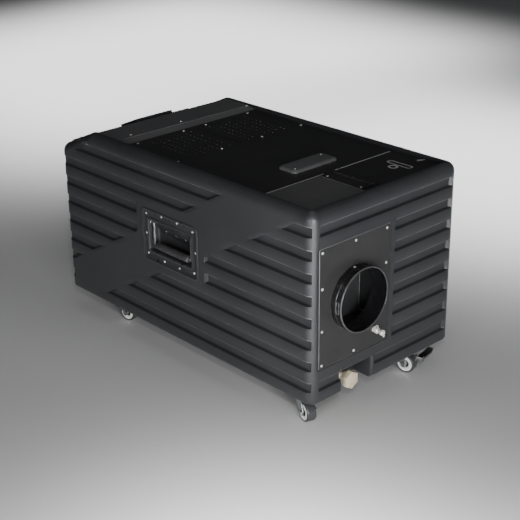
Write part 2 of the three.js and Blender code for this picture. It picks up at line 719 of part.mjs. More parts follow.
// The pipe that carries hot fog from the heater into the mist space.
function fogPipe() {
  return pipe(
    [
      [115, 299.7, 65], [115, 288, 65], [108, 276, 70], [88, 268, 96], [62, 290, 140], [40, 322, 165],
      [18, FOG.y, FOG.z], [-22, FOG.y, FOG.z],
    ],
    8, 18,
  );
}

function fluidBottle() {
  const body = planPrism(roundedOutline(70, 200, 60, 240, 16), FLOOR + FIT, 260, 3);
  const shoulder = bar(Z, 30, 258, 268, at(BOTTLE.x, BOTTLE.y, 0), 20);
  const neck = bar(Z, 19, 264, BOTTLE.top, at(BOTTLE.x, BOTTLE.y, 0), 20);
  return join(body, shoulder, neck);
}

function bottleCap() {
  const roof = BOTTLE.top + 11;
  const under = BOTTLE.top + 0.5;
  const skirt = BOTTLE.top - 22;
  const profile = [
    [0, roof], [24, roof], [26, roof - 2], [26, skirt], [19.5, skirt], [19.5, under], [0, under], [0, roof],
  ];
  return turned(Z, profile, at(BOTTLE.x, BOTTLE.y, 0), 20);
}

function pump() {
  const y = 640;
  const z = 46;
  const barrel = bar(X, 24, 70, 150, at(0, y, z), 16);
  const snout = bar(X, 9, 150, 178, at(0, y, z), 12);
  const tail = bar(X, 9, 44, 70, at(0, y, z), 12);
  return join(barrel, snout, tail, block(84, 136, y - 20, y + 20, FLOOR + FIT, 30));
}

function powerSupply() {
  const cage = block(-190, -70, 560, 780, FLOOR + FIT, SUPPLY_TOP);
  const slots = Array.from({ length: 5 }, (_, i) => block(-160, -100, 590 + i * 36, 606 + i * 36, 60, 70));
  return cut(cage, ...slots);
}

// The main circuit board standing on the power supply, with its taller components.
function controlBoard() {
  const top = SUPPLY_TOP + FIT;
  const foot = block(-190, -70, 600, 604, top, top + 20);
  const board = block(-190, -70, 600, 602, top, top + 130);
  const tall = [[-170, 40, 24], [-130, 60, 30], [-95, 90, 18]];
  const components = tall.map(
    ([x, z, size]) => block(x - size / 2, x + size / 2, 588, 601, top + z, top + z + size),
  );
  return join(board, foot, ...components);
}

// ---------------------------------------------------------------- side handles, drawn for the right-hand side

function handleDish() {
  const face = HALF + FIT;
  const edge = roundedOutline(HANDLE.y0, HANDLE.y1, HANDLE.z0, HANDLE.z1, 14);
  const flange = sidePrism(edge, face, face + 1.8, 3);
  const { y0, y1, z0, z1, depth, wall } = DISH;
  const tub = block(HALF - depth, face + 1, y0, y1, z0, z1);
  const hollow = block(HALF - depth + wall, face + 9, y0 + wall, y1 - wall, z0 + wall, z1 - wall);
  const pin = bar(Y, BAIL.radius + FIT, y0 - 5, y1 + 5, at(HALF - BAIL.inset, 0, BAIL.pivotZ), 12);
  return cut(flange.add(tub), hollow, pin.intersect(block(0, HALF, y0 - 1, y1 + 1, 0, HEIGHT)));
}

// The bail hangs from two stub pins and carries a straight grip bar at the bottom.
function handleBail() {
  const x = HALF - BAIL.inset;
  const { y0, y1, pivotZ, gripZ, radius } = BAIL;
  const overlap = 4;
  const pins = [
    bar(Y, radius, DISH.y0 + FIT, y0 + overlap, at(x, 0, pivotZ), 12),
    bar(Y, radius, y1 - overlap, DISH.y1 - FIT, at(x, 0, pivotZ), 12),
  ];
  const arms = [y0, y1].map(
    (y) => block(x - radius, x + radius, y - radius, y + radius, gripZ - radius, pivotZ + radius),
  );
  return join(...pins, ...arms, bar(Y, radius, y0, y1, at(x, 0, gripZ), 12));
}

function handleGrip() {
  const x = HALF - BAIL.inset;
  const { y0, y1, gripZ, radius } = BAIL;
  return ring(Y, radius + FIT, 10, y0 + 9, y1 - 9, at(x, 0, gripZ), 14);
}

function mirrored(body) {
  return solid(geometryOf(body).scale(-1, 1, 1));
}

// ---------------------------------------------------------------- casters, drawn with the swivel on the Z axis

function casterPlate() {
  const sheet = block(-28, 28, -28, 28, -3.3, -FIT);
  return sheet.add(bar(Z, 19, -8, -3, at(0, 0, 0), 20));
}

// One fork leg: a tapering cheek from the swivel head down to the axle.
function forkLeg(x0, x1) {
  const cheek = outline([
    [17, -8.3], [-19, -8.3], [-WHEEL.trail - 8, WHEEL_Z + 4], [-WHEEL.trail - 6, WHEEL_Z - 6],
    [-WHEEL.trail + 4, WHEEL_Z - 8], [-WHEEL.trail + 11, WHEEL_Z],
  ]);
  return sidePrism(cheek, x0, x1);
}

function casterFork(brake) {
  const inner = WHEEL.width / 2 + 1.5;
  const outer = inner + 2.5;
  const hub = at(0, -WHEEL.trail, WHEEL_Z);
  let fork = join(
    bar(Z, 18, -12, -8.3, at(0, 0, 0), 20),
    block(-outer, outer, -19, 17, -12, -8.3),
    forkLeg(-outer, -inner),
    forkLeg(inner, outer),
    bar(X, 3.5, -outer - 1, outer + 1, hub, 12),
    bar(X, 7, -outer - 5, -outer, hub, 6),
    bar(X, 7, outer, outer + 5, hub, 6),
  );
  if (brake) {
    const { x, y: middle, z, half } = PEDAL;
    const from = middle - half - 3;
    const to = middle + half + 3;
    fork = fork.add(block(outer - 1, outer + 1, from, -WHEEL.trail + 4, z - 3, z + 8));
    for (const y of [from, to - 2]) fork = fork.add(block(outer - 1, x + 2.5, y, y + 2, z - 3, z + 8));
    fork = fork.add(bar(Y, 1.5, from, to, at(x, 0, z), 8));
  }
  return fork;
}

// The brake pedal: an eye on its pin, a stem and a broad tread that kicks up at the end.
function brakePedal() {
  const { x, y, z, half, reach } = PEDAL;
  const y0 = y - half;
  const y1 = y + half;
  const lever = outline([
    [x - 3, z - 2], [x + 6, z - 3], [reach - 8, z - 3], [reach, z + 3],
    [reach, z + 6], [reach - 9, z], [x + 6, z + 1], [x - 3, z + 2],
  ]);
  const centre = at(x, 0, z);
  const eye = bar(Y, 4, y0, y1, centre, 12);
  return frontPrism(lever, y0, y1).add(eye).subtract(bar(Y, 1.8, y0 - 1, y1 + 1, centre, 8));
}

function casterWheel() {
  const half = WHEEL.width / 2;
  const { rim } = WHEEL;
  const profile = [
    [3.8, -half], [8, -half], [9, -half + 4], [15, -half + 4], [16, -half], [rim, -half],
    [rim, half], [16, half], [15, half - 4], [9, half - 4], [8, half], [3.8, half], [3.8, -half],
  ];
  return turned(X, profile, at(0, -WHEEL.trail, WHEEL_Z), 16);
}

function casterTyre() {
  const half = WHEEL.width / 2;
  const inner = WHEEL.rim + FIT;
  const profile = [
    [inner, -half], [WHEEL.radius - 2, -half], [WHEEL.radius, -half + 4], [WHEEL.radius, half - 4],
    [WHEEL.radius - 2, half], [inner, half], [inner, -half],
  ];
  return turned(X, profile, at(0, -WHEEL.trail, WHEEL_Z), 24);
}

function addCaster({ tag, x, y, turn, brake }) {
  const stand = new THREE.Group();
  stand.position.set(x, y, 0);
  machine.add(stand);
  add(`caster_plate_${tag}`, casterPlate(), FINISH.steel, stand);
  const swivel = new THREE.Group();
  swivel.rotation.z = THREE.MathUtils.degToRad(turn);
  stand.add(swivel);
  add(`caster_fork_${tag}`, casterFork(brake), FINISH.steel, swivel);
  add(`caster_hub_${tag}`, casterWheel(), FINISH.white, swivel);
  add(`caster_tyre_${tag}`, casterTyre(), FINISH.tyre, swivel);
  if (brake) add(`brake_pedal_${tag}`, brakePedal(), FINISH.rubber, swivel);
}

// ---------------------------------------------------------------- assembly

add('casing', casing(), FINISH.casing);
add('base_plate', basePlate(), FINISH.satin);
add('top_panel', topPanel(), FINISH.satin);
add('receiver_cover', receiverCover(), FINISH.casing);
add('lid_hinge_base', lidHingeBase(), FINISH.satin);
add('fill_lid', fillLid(), FINISH.satin);
add('front_plate', frontPlate(), FINISH.satin);
add('outlet_duct', outletDuct(), FINISH.gloss);
add('outlet_plenum', outletPlenum(), FINISH.satin);
add('hose_connector', hoseConnector(), FINISH.nickel);
add('drain_pipe', drainPipe(), FINISH.brass);
add('drain_cap', drainCap(), FINISH.brass);
add('control_panel', controlPanel(), FINISH.satin);
add('display_housing', displayHousing(), FINISH.casing);
add('display_window', displayWindow(), FINISH.glass);
BUTTON.xs.forEach((x, index) => add(`menu_button_${index + 1}`, menuButton(x), FINISH.rubber));
add('rear_plate', rearPlate(), FINISH.satin);
add('power_inlet', powerInlet(), FINISH.rubber);
add('power_switch', powerSwitch(), FINISH.rubber);
SOCKETS.forEach(({ name, x }) => add(name, dataSocket(x), FINISH.steel));
add('water_tank', waterTank(), FINISH.tank);
add('ultrasonic_module', ultrasonicModule(), FINISH.steel);
add('level_float', levelFloat(), FINISH.white);
add('mist_fan_frame', fanFrame(), FINISH.rubber);
add('mist_fan_rotor', fanRotor(), FINISH.rubber);
add('heater_block', heaterBlock(), FINISH.alloy);
add('fog_pipe', fogPipe(), FINISH.steel);
add('fluid_bottle', fluidBottle(), FINISH.white);
add('bottle_cap', bottleCap(), FINISH.rubber);
add('pump', pump(), FINISH.alloy);
add('power_supply', powerSupply(), FINISH.alloy);
add('control_board', controlBoard(), FINISH.circuit);
for (const [hand, shape] of [['right', (body) => body], ['left', mirrored]]) {
  add(`handle_dish_${hand}`, shape(handleDish()), FINISH.steel);
  add(`handle_bail_${hand}`, shape(handleBail()), FINISH.nickel);
  add(`handle_grip_${hand}`, shape(handleGrip()), FINISH.rubber);
}
CASTERS.forEach(addCaster);

machine.position.set(0, -(LENGTH - REACH) / 2, GROUND_GAP);
const part = new THREE.Group();
part.add(machine);

export default part;
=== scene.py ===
import json
import math
import random

import bmesh
import bpy
import numpy as np
from mathutils import Matrix, Vector


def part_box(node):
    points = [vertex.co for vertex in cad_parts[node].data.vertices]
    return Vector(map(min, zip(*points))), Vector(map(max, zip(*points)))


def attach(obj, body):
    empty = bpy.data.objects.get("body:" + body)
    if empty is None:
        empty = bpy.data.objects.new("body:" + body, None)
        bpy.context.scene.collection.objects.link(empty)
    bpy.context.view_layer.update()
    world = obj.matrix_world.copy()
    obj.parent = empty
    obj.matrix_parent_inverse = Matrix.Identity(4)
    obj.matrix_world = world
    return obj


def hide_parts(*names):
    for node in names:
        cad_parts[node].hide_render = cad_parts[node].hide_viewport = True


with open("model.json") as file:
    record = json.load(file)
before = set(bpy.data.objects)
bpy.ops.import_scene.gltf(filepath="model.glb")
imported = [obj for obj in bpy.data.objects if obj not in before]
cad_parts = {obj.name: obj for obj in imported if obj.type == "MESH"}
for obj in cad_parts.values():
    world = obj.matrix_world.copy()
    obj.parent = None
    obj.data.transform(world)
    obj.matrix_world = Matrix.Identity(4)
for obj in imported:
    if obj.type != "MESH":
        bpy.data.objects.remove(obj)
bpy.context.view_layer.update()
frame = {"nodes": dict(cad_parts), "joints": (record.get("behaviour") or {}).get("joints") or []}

# The looks of a wheeled low-fog machine, built around its CAD frame. Lengths in the helpers below are millimetres
# in the casing's own frame: X from the middle, Y back from the front face, Z up from the casing's bottom edge.
# Every piece is turned into metres of the shared frame by place().

random.seed(11)

MM = 0.001
CASE_LOW, CASE_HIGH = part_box("casing")


def place(x, y, z):
    return Vector((x * MM, CASE_LOW.y + y * MM, CASE_LOW.z + z * MM))


def local_box(node):
    """The CAD node's box, in millimetres of the casing's frame."""
    low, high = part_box(node)
    shift = Vector((0, CASE_LOW.y, CASE_LOW.z))
    return (low - shift) / MM, (high - shift) / MM


def across_and_up(node):
    """The middle of the CAD node's box, across the machine and up."""
    low, high = local_box(node)
    return (low.x + high.x) / 2, (low.z + high.z) / 2


JOINTS = {joint["name"]: joint for joint in frame["joints"]}

WIDTH = (CASE_HIGH.x - CASE_LOW.x) / MM
LENGTH = (CASE_HIGH.y - CASE_LOW.y) / MM
HEIGHT = (CASE_HIGH.z - CASE_LOW.z) / MM
HALF = WIDTH / 2
CORNER = 24
SIDE = HALF - CORNER
FOOT = 10
WALL = 19
PLATE_SEAT = 3.1
RIM = 22
RIDGE_Y = 807
REAR_TOP = 423
PANEL_LOW, PANEL_HIGH = local_box("top_panel")
PANEL_TOP = PANEL_HIGH.z
PANEL_BACK = PANEL_HIGH.y
DECK_Z = HEIGHT - 7
STEP = 22

GROOVE_COUNT = 8
GROOVE_PITCH = 54.8
GROOVE_TOP_ROW = 417.5
GROOVE_ROWS = [GROOVE_TOP_ROW - GROOVE_PITCH * k for k in range(GROOVE_COUNT)]
GROOVE_HEIGHT = 24.7
GROOVE_DEPTH = 8.6
LIP_STEPS = [-1.5, -0.6, 0, 0.7, 1.5, 2.4, 4.0]
BAND_SLOPE = 1.78
BAND_FRONT = 95
BAND_BACK = 345
END_LEAN = 1.6
SIDE_START = 8
FRONT_LEFT_END, FRONT_RIGHT_END = 26, 228
HANDLE_FIELD = (363, 626)

PLATE_LOW, PLATE_HIGH = local_box("front_plate")
REAR_LOW, REAR_HIGH = local_box("rear_plate")
DUCT_X, DUCT_Z = across_and_up("outlet_duct")
POCKET = dict(x0=-147, x1=-45, top=56, back=58, round=7)
DISH = dict(y0=410, y1=576, z0=222, z1=306, depth=34)
LID_LOW, LID_HIGH = local_box("fill_lid")


# ---- materials


def set_inputs(node, **values):
    """Sets a node's sockets by name; an underscore stands for a space."""
    for name, value in values.items():
        node.inputs[name.replace("_", " ")].default_value = value


def noise(tree, coords, scale, detail, roughness):
    """A noise texture of the object's own coordinates; scale is in features per metre."""
    texture = tree.nodes.new("ShaderNodeTexNoise")
    set_inputs(texture, Scale=scale, Detail=detail, Roughness=roughness)
    tree.links.new(coords.outputs["Object"], texture.inputs["Vector"])
    return texture.outputs["Fac"]


def spread(tree, value, low, high, start=0.3, end=0.7):
    """Maps a texture value onto a range of numbers."""
    node = tree.nodes.new("ShaderNodeMapRange")
    set_inputs(node, From_Min=start, From_Max=end, To_Min=low, To_Max=high)
    tree.links.new(value, node.inputs["Value"])
    return node.outputs["Result"]


def blend_colors(tree, factor, first, second):
    """Mixes two colours, each a socket, a triple or one number for a grey."""
    node = tree.nodes.new("ShaderNodeMix")
    node.data_type = "RGBA"
    tree.links.new(factor, node.inputs[0])
    for socket, color in ((node.inputs[6], first), (node.inputs[7], second)):
        if hasattr(color, "links"):
            tree.links.new(color, socket)
        else:
            socket.default_value = (*color, 1) if isinstance(color, tuple) else (color, color, color, 1)
    return node.outputs[2]


def material(
    name, dark, light, rough, metal=0.0, patch=9, grain=900, bump=0.15, fleck=None, coat=0.0, through=0.0,
):
    """A surface whose colour drifts in broad patches, whose roughness varies, and whose grain shows as bumps.
    fleck is (colour, share) for small scuffed or dusty spots."""
    made = bpy.data.materials.new(name)
    made.use_nodes = True
    tree = made.node_tree
    shader = tree.nodes["Principled BSDF"]
    coords = tree.nodes.new("ShaderNodeTexCoord")
    broad = noise(tree, coords, patch, 5.0, 0.55)
    fine = noise(tree, coords, grain, 3.0, 0.6)
    color = blend_colors(tree, spread(tree, broad, 0, 1), dark, light)
    if fleck:
        spots = noise(tree, coords, grain * 0.35, 6.0, 0.7)
        share = spread(tree, spots, 0, 0.8, 0.72 - fleck[1], 0.76 - fleck[1] * 0.5)
        color = blend_colors(tree, share, color, fleck[0])
    tree.links.new(color, shader.inputs["Base Color"])
    mixed = tree.nodes.new("ShaderNodeMath")
    mixed.operation = "MULTIPLY_ADD"
    tree.links.new(fine, mixed.inputs[0])
    mixed.inputs[1].default_value = 0.35
    tree.links.new(broad, mixed.inputs[2])
    tree.links.new(spread(tree, mixed.outputs[0], *rough, 0.45, 0.9), shader.inputs["Roughness"])
    relief = tree.nodes.new("ShaderNodeBump")
    set_inputs(relief, Strength=bump, Distance=0.0002)
    tree.links.new(fine, relief.inputs["Height"])
    tree.links.new(relief.outputs["Normal"], shader.inputs["Normal"])
    set_inputs(shader, Metallic=metal, Coat_Weight=coat, Coat_Roughness=0.12, Transmission_Weight=through)
    return made


LOOK = {
    "casing": material("casing_plastic", (0.030, 0.031, 0.034), (0.040, 0.042, 0.045), (0.28, 0.38),
        grain=1100, bump=0.16, fleck=(0.10, 0.02), patch=5, coat=0.12),
    "satin_metal": material("satin_black_coat", (0.010, 0.010, 0.011), (0.015, 0.015, 0.016), (0.34, 0.46),
        grain=1500, bump=0.12, fleck=(0.06, 0.015)),
    # the lid's lighter coat: partly the lid's own finish, partly a painted reflection
    "lid_metal": material("lid_coat_and_reflection", (0.128, 0.128, 0.131), (0.150, 0.150, 0.153), (0.42, 0.52), grain=1500,
        bump=0.14, fleck=(0.08, 0.02)),
    "gloss_black": material("gloss_black_coat", (0.006, 0.006, 0.007), (0.011, 0.011, 0.012), (0.16, 0.3),
        grain=400, bump=0.04, coat=0.3, fleck=(0.05, 0.015)),
    "nickel": material("nickel_plate", (0.62, 0.60, 0.55), (0.78, 0.76, 0.70), (0.16, 0.34), 1.0, grain=700,
        bump=0.05, patch=60),
    "zinc_steel": material("zinc_steel", (0.34, 0.35, 0.36), (0.52, 0.53, 0.54), (0.25, 0.45), 1.0, grain=600,
        bump=0.08, patch=50, fleck=((0.2, 0.19, 0.18), 0.05)),
    "handle_metal": material("handle_coat", (0.036, 0.037, 0.040), (0.052, 0.053, 0.056), (0.25, 0.40), 0.3,
        grain=800, bump=0.08, patch=40, fleck=(0.3, 0.03)),
    "brass": material("turned_brass", (0.82, 0.70, 0.48), (0.93, 0.84, 0.64), (0.28, 0.46), 0.35, grain=500,
        bump=0.06, patch=70, fleck=((0.35, 0.24, 0.12), 0.05)),
    "hub_white": material("white_nylon", (0.86, 0.86, 0.84), (0.94, 0.94, 0.92), (0.3, 0.45), grain=500,
        bump=0.06, patch=40, fleck=((0.4, 0.38, 0.34), 0.03)),
    "tyre_grey": material("smoky_tyre", (0.055, 0.057, 0.060), (0.095, 0.098, 0.102), (0.16, 0.30), grain=500,
        bump=0.08, patch=60, through=0.25, fleck=((0.3, 0.29, 0.27), 0.04)),
    "black_rubber": material("black_rubber", 0.012, 0.022, (0.55, 0.75), grain=900, bump=0.3, patch=50,
        fleck=(0.09, 0.03)),
    "grip_plastic": material("grip_plastic", (0.045, 0.045, 0.047), (0.065, 0.065, 0.067), (0.24, 0.36),
        grain=900, bump=0.12, patch=40, fleck=(0.12, 0.02)),
    "black_plastic": material("black_plastic", (0.010, 0.010, 0.011), (0.018, 0.018, 0.019), (0.38, 0.52),
        grain=900, bump=0.14, patch=40, fleck=(0.08, 0.02)),
    # painted shade: the tank is near-black so that the inside seen through the openings reads dark
    "tank_plastic": material("tank_polypropylene", (0.020, 0.021, 0.022), (0.030, 0.031, 0.032), (0.4, 0.55),
        grain=300, bump=0.1, patch=12),
    "alloy": material("cast_alloy", (0.45, 0.46, 0.47), (0.62, 0.63, 0.64), (0.35, 0.55), 0.9, grain=500,
        bump=0.3, patch=30),
    "circuit": material("circuit_board", (0.015, 0.10, 0.04), (0.03, 0.17, 0.07), (0.3, 0.45), grain=300,
        bump=0.2, patch=150, fleck=((0.6, 0.55, 0.35), 0.08)),
    "deck_coat": material("deck_coat", (0.155, 0.155, 0.160), (0.180, 0.180, 0.185), (0.30, 0.40), grain=1500,
        bump=0.12, fleck=(0.09, 0.02)),
    "cover_plastic": material("cover_plastic", (0.150, 0.151, 0.156), (0.180, 0.181, 0.186), (0.34, 0.44),
        grain=1100, bump=0.15, fleck=(0.12, 0.02)),
    "panel_coat": material("panel_coat", (0.034, 0.034, 0.035), (0.042, 0.042, 0.043), (0.34, 0.44),
        grain=1500, bump=0.12, fleck=(0.08, 0.015)),
    "plate_coat": material("plate_coat", (0.030, 0.030, 0.031), (0.038, 0.038, 0.039), (0.17, 0.27),
        grain=1500, bump=0.10, fleck=(0.09, 0.015)),
    # painted highlight: the duct's rolled lip is coloured lighter than the duct to stand in for the light on it
    "duct_lip_highlight": material("duct_lip_highlight", (0.050, 0.050, 0.052), (0.075, 0.075, 0.078), (0.16, 0.26), grain=500,
        bump=0.05, coat=0.3, patch=20),
    "bail_metal": material("bail_metal", (0.16, 0.16, 0.165), (0.24, 0.24, 0.245), (0.22, 0.34), 0.7,
        grain=700, bump=0.08, patch=40, fleck=(0.4, 0.03)),
    # painted highlight: a light look for the thin light lines along groove lips, plate bevels and handle rims
    "painted_edge_highlight": material("painted_edge_highlight", (0.16, 0.16, 0.165), (0.24, 0.24, 0.245), (0.22, 0.34), grain=900,
        bump=0.1, patch=14, fleck=(0.05, 0.05)),
    "bright_nickel": material("bright_nickel", (0.84, 0.82, 0.76), (0.94, 0.92, 0.87), (0.16, 0.3), 0.3,
        grain=700, bump=0.05, patch=60),
    "screw_zinc": material("screw_zinc", (0.72, 0.71, 0.68), (0.90, 0.89, 0.86), (0.2, 0.36), 0.35, grain=700,
        bump=0.05, patch=90),
    "ink": material("white_ink", (0.66, 0.66, 0.64), (0.82, 0.82, 0.80), (0.45, 0.6), grain=1200, bump=0.1,
        patch=80, fleck=(0.3, 0.04)),
    "seam": material("bare_weld_edge", (0.22, 0.22, 0.23), (0.36, 0.36, 0.37), (0.3, 0.45), 0.8, grain=900,
        bump=0.2, patch=90),
}


def display_material():
    """A dark window with faint lit bars, as a text display shows through its glass."""
    made = material("display_window", (0.006, 0.012, 0.016), (0.010, 0.018, 0.024), (0.06, 0.14), grain=300,
                    bump=0.02, coat=0.6)
    tree = made.node_tree
    shader = tree.nodes["Principled BSDF"]
    coords = tree.nodes.new("ShaderNodeTexCoord")
    bars = tree.nodes.new("ShaderNodeTexBrick")
    set_inputs(bars, Color1=(0.05, 0.16, 0.18, 1), Color2=(0.02, 0.06, 0.07, 1), Mortar=(0.002, 0.006, 0.01, 1),
               Scale=90, Mortar_Size=0.035)
    tree.links.new(coords.outputs["Object"], bars.inputs["Vector"])
    tree.links.new(bars.outputs["Color"], shader.inputs["Emission Color"])
    set_inputs(shader, Emission_Strength=0.3)
    return made


LOOK["display_glass"] = display_material()


# ---- mesh helpers


FLAT_SHARE = 0.04
ROUND_STEPS = 6


def shown(name, data):
    """A new object in the scene that shows the data."""
    made = bpy.data.objects.new(name, data)
    bpy.context.scene.collection.objects.link(made)
    return made


def flatten(mesh):
    """Shades wide plane faces flat, so that the rounded edges round them don't bend the light on them."""
    planes = {}
    for face in mesh.polygons:
        key = (*(round(v, 3) for v in face.normal), round(face.normal.dot(face.center) * 5000))
        planes.setdefault(key, []).append(face)
    total = sum(face.area for face in mesh.polygons)
    for faces in planes.values():
        if sum(face.area for face in faces) > FLAT_SHARE * total:
            for face in faces:
                face.use_smooth = False


def link(name, mesh, look, body="root", nodes=(), sharp=40, second=None, flats=False):
    """Adds a mesh as a piece that rides on a body and stands for the CAD nodes named. Faces with material index 1
    wear the second look."""
    mesh.shade_smooth()
    mesh.set_sharp_from_angle(angle=math.radians(sharp))
    if flats:
        flatten(mesh)
    made = shown(name, mesh)
    indices = [face.material_index for face in mesh.polygons]
    mesh.materials.clear()
    mesh.materials.append(LOOK[look])
    if second:
        mesh.materials.append(LOOK[second])
        mesh.polygons.foreach_set("material_index", indices)
    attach(made, body)
    if nodes:
        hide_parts(*nodes)
    return made


def mesh_of(points, faces):
    mesh = bpy.data.meshes.new("mesh")
    mesh.from_pydata([tuple(p) for p in points], [], faces)
    mesh.validate()
    return mesh


def tidy(mesh):
    """Welds doubled points and turns the faces outwards."""
    bm = bmesh.new()
    bm.from_mesh(mesh)
    bmesh.ops.remove_doubles(bm, verts=bm.verts, dist=2e-5)
    bmesh.ops.recalc_face_normals(bm, faces=bm.faces)
    bm.to_mesh(mesh)
    bm.free()
    return mesh


def grid(rows, count, closed=False):
    """Faces between rows of points, each row count points long."""
    span = count if closed else count - 1
    corners = [(row * count + i, row * count + (i + 1) % count) for row in range(rows - 1) for i in range(span)]
    return [(a, b, b + count, a + count) for a, b in corners]


def strip(loops, closed=True, caps=(False, False)):
    """Faces that join loops of points one after another, and close the first or last end if asked."""
    count, total = len(loops[0]), len(loops) * len(loops[0])
    faces = grid(len(loops), count, closed)
    if caps[0]:
        faces.append(tuple(reversed(range(count))))
    if caps[1]:
        faces.append(tuple(range(total - count, total)))
    return mesh_of([p for loop in loops for p in loop], faces)


def rounded(a0, a1, b0, b1, radius, steps=ROUND_STEPS):
    """Corner points of a rounded rectangle, in two coordinates."""
    radius = max(radius, 0.01)
    out = []
    for turn, (a, b) in enumerate(((a1 - radius, b0 + radius), (a1 - radius, b1 - radius),
                                   (a0 + radius, b1 - radius), (a0 + radius, b0 + radius))):
        for step in range(steps + 1):
            angle = math.radians(-90 + 90 * turn + 90 * step / steps)
            out.append((a + radius * math.cos(angle), b + radius * math.sin(angle)))
    return out


def spun(profile, centre, axis, sides=64):
    """A turned mesh: profile holds (radius, distance along the axis) in millimetres; centre in metres."""
    axis = Vector(axis).normalized()
    side = axis.orthogonal().normalized()
    other = axis.cross(side)
    turns = [2 * math.pi * k / sides for k in range(sides)]
    loops = [[centre + (axis * along + (side * math.cos(t) + other * math.sin(t)) * max(radius, 0.001)) * MM
              for t in turns] for radius, along in profile]
    return tidy(strip(loops))


def prism(outline, low, high, chamfer, to_point):
    """A plate or bar with rounded edges: an outline, raised from low to high. to_point turns (a, b, level) into a
    place."""
    middle = (sum(a for a, b in outline) / len(outline), sum(b for a, b in outline) / len(outline))

    def shrunk(inset):
        out = []
        for a, b in outline:
            da, db = a - middle[0], b - middle[1]
            size = math.hypot(da, db)
            out.append((a - da / size * inset, b - db / size * inset))
        return out

    levels = [(chamfer * (1 - math.sin(t)), low + chamfer * (1 - math.cos(t)))
              for t in (0, math.pi / 4, math.pi / 2)]
    levels += [(inset, high + low - level) for inset, level in reversed(levels)]
    loops = [[to_point(a, b, level) for a, b in shrunk(inset)] for inset, level in levels]
    return tidy(strip(loops, caps=(True, True)))


def hexagon(radius, centre=(0, 0), turn=0.0):
    return [(centre[0] + radius * math.cos(math.radians(60 * k + turn)),
             centre[1] + radius * math.sin(math.radians(60 * k + turn))) for k in range(6)]


def curve_mesh(name, lines, closed, **settings):
    """The mesh of a curve drawn through lines of points in metres."""
    curve = bpy.data.curves.new(name, "CURVE")
    for setting, value in settings.items():
        setattr(curve, setting, value)
    for points in lines:
        line = curve.splines.new("POLY")
        line.points.add(len(points) - 1)
        for spot, p in zip(line.points, points):
            spot.co = (*p, 1)
        line.use_cyclic_u = closed
    holder = shown(name, curve)
    mesh = bpy.data.meshes.new_from_object(holder)
    bpy.data.objects.remove(holder)
    return mesh


def tube(name, points, radius, look, body="root", nodes=(), closed=False, resolution=4):
    """A round rod along points in metres, turned into a mesh."""
    mesh = curve_mesh(name, [points], closed, dimensions="3D", bevel_depth=radius * MM,
                      bevel_resolution=resolution, use_fill_caps=True)
    return link(name, mesh, look, body, nodes=nodes, sharp=60)


def flat_sheet(name, outlines, low, high, look, nodes=()):
    """A flat sheet with holes: the first outline is its edge and the others are cut out; millimetres."""
    lines = [[(a * MM, b * MM, 0) for a, b in outline] for outline in outlines]
    mesh = curve_mesh(name, lines, True, dimensions="2D", fill_mode="BOTH", extrude=(high - low) / 2 * MM)
    mesh.transform(Matrix.Translation(place(0, 0, (low + high) / 2)))
    return link(name, mesh, look, nodes=nodes, sharp=30)


def bend(corners, radius):
    """A line through corners with each inner corner rounded, by one radius or a list of them; millimetres."""
    corners = [Vector(c) for c in corners]
    radii = radius if isinstance(radius, list) else [radius] * len(corners)
    out = [corners[0]]
    for before, here, after, reach in zip(corners, corners[1:], corners[2:], radii):
        into, away = (before - here).normalized(), (after - here).normalized()
        start, end = here + into * reach, here + away * reach
        for step in range(ROUND_STEPS + 1):
            t = step / ROUND_STEPS
            out.append(start * (1 - t) ** 2 + here * 2 * t * (1 - t) + end * t ** 2)
    return out + [corners[-1]]


def polish(node, look, body="root", width=0.6, segments=2, sharp=35, highlight_look=None):
    """The CAD node's own shape with its edges rounded, and its bevel faces painted with a highlight look if asked,
    shown in its place.
    """
    bm = bmesh.new()
    bm.from_mesh(frame["nodes"][node].data)
    bmesh.ops.remove_doubles(bm, verts=bm.verts, dist=1e-6)
    bmesh.ops.dissolve_limit(bm, angle_limit=math.radians(1), verts=bm.verts, edges=bm.edges)
    edges = [e for e in bm.edges if len(e.link_faces) == 2 and e.calc_face_angle(0) > math.radians(30)]
    bmesh.ops.bevel(bm, geom=edges, offset=width * MM, segments=segments, profile=0.5, affect="EDGES",
                    clamp_overlap=True, material=1 if highlight_look else -1)
    mesh = bpy.data.meshes.new(node + "_shape")
    bm.to_mesh(mesh)
    bm.free()
    return link(node + "_body", mesh, look, body, nodes=(node,), sharp=sharp, second=highlight_look, flats=True)


def copies(name, mesh, spots, look, body="root"):
    """One mesh repeated at (place in metres, direction its +Z points to, turn about it)."""
    bm = bmesh.new()
    for point, direction, turn in spots:
        matrix = Matrix.Translation(point) @ Vector(direction).to_track_quat("Z", "Y").to_matrix().to_4x4()
        matrix = matrix @ Matrix.Rotation(turn, 4, "Z")
        start = len(bm.verts)
        bm.from_mesh(mesh)
        bm.verts.ensure_lookup_table()
        bmesh.ops.transform(bm, matrix=matrix, verts=bm.verts[start:])
    made = bpy.data.meshes.new(name)
    bm.to_mesh(made)
    bm.free()
    return link(name, made, look, body, sharp=35)


def cut_mesh(mesh, cutter):
    """Takes the cutter's volume out of the mesh."""
    holders = [shown("cut", part) for part in (mesh, cutter)]
    modifier = holders[0].modifiers.new("cut", "BOOLEAN")
    modifier.object = holders[1]
    modifier.solver = "EXACT"
    bpy.context.view_layer.update()
    graph = bpy.context.evaluated_depsgraph_get()
    result = bpy.data.meshes.new_from_object(holders[0].evaluated_get(graph))
    for holder in holders:
        bpy.data.objects.remove(holder)
    return result


def box_mesh(low, high):
    bm = bmesh.new()
    bmesh.ops.create_cube(bm, size=1)
    for vert in bm.verts:
        for k in range(3):
            vert.co[k] = high[k] if vert.co[k] > 0 else low[k]
    mesh = bpy.data.meshes.new("block")
    bm.to_mesh(mesh)
    bm.free()
    return mesh


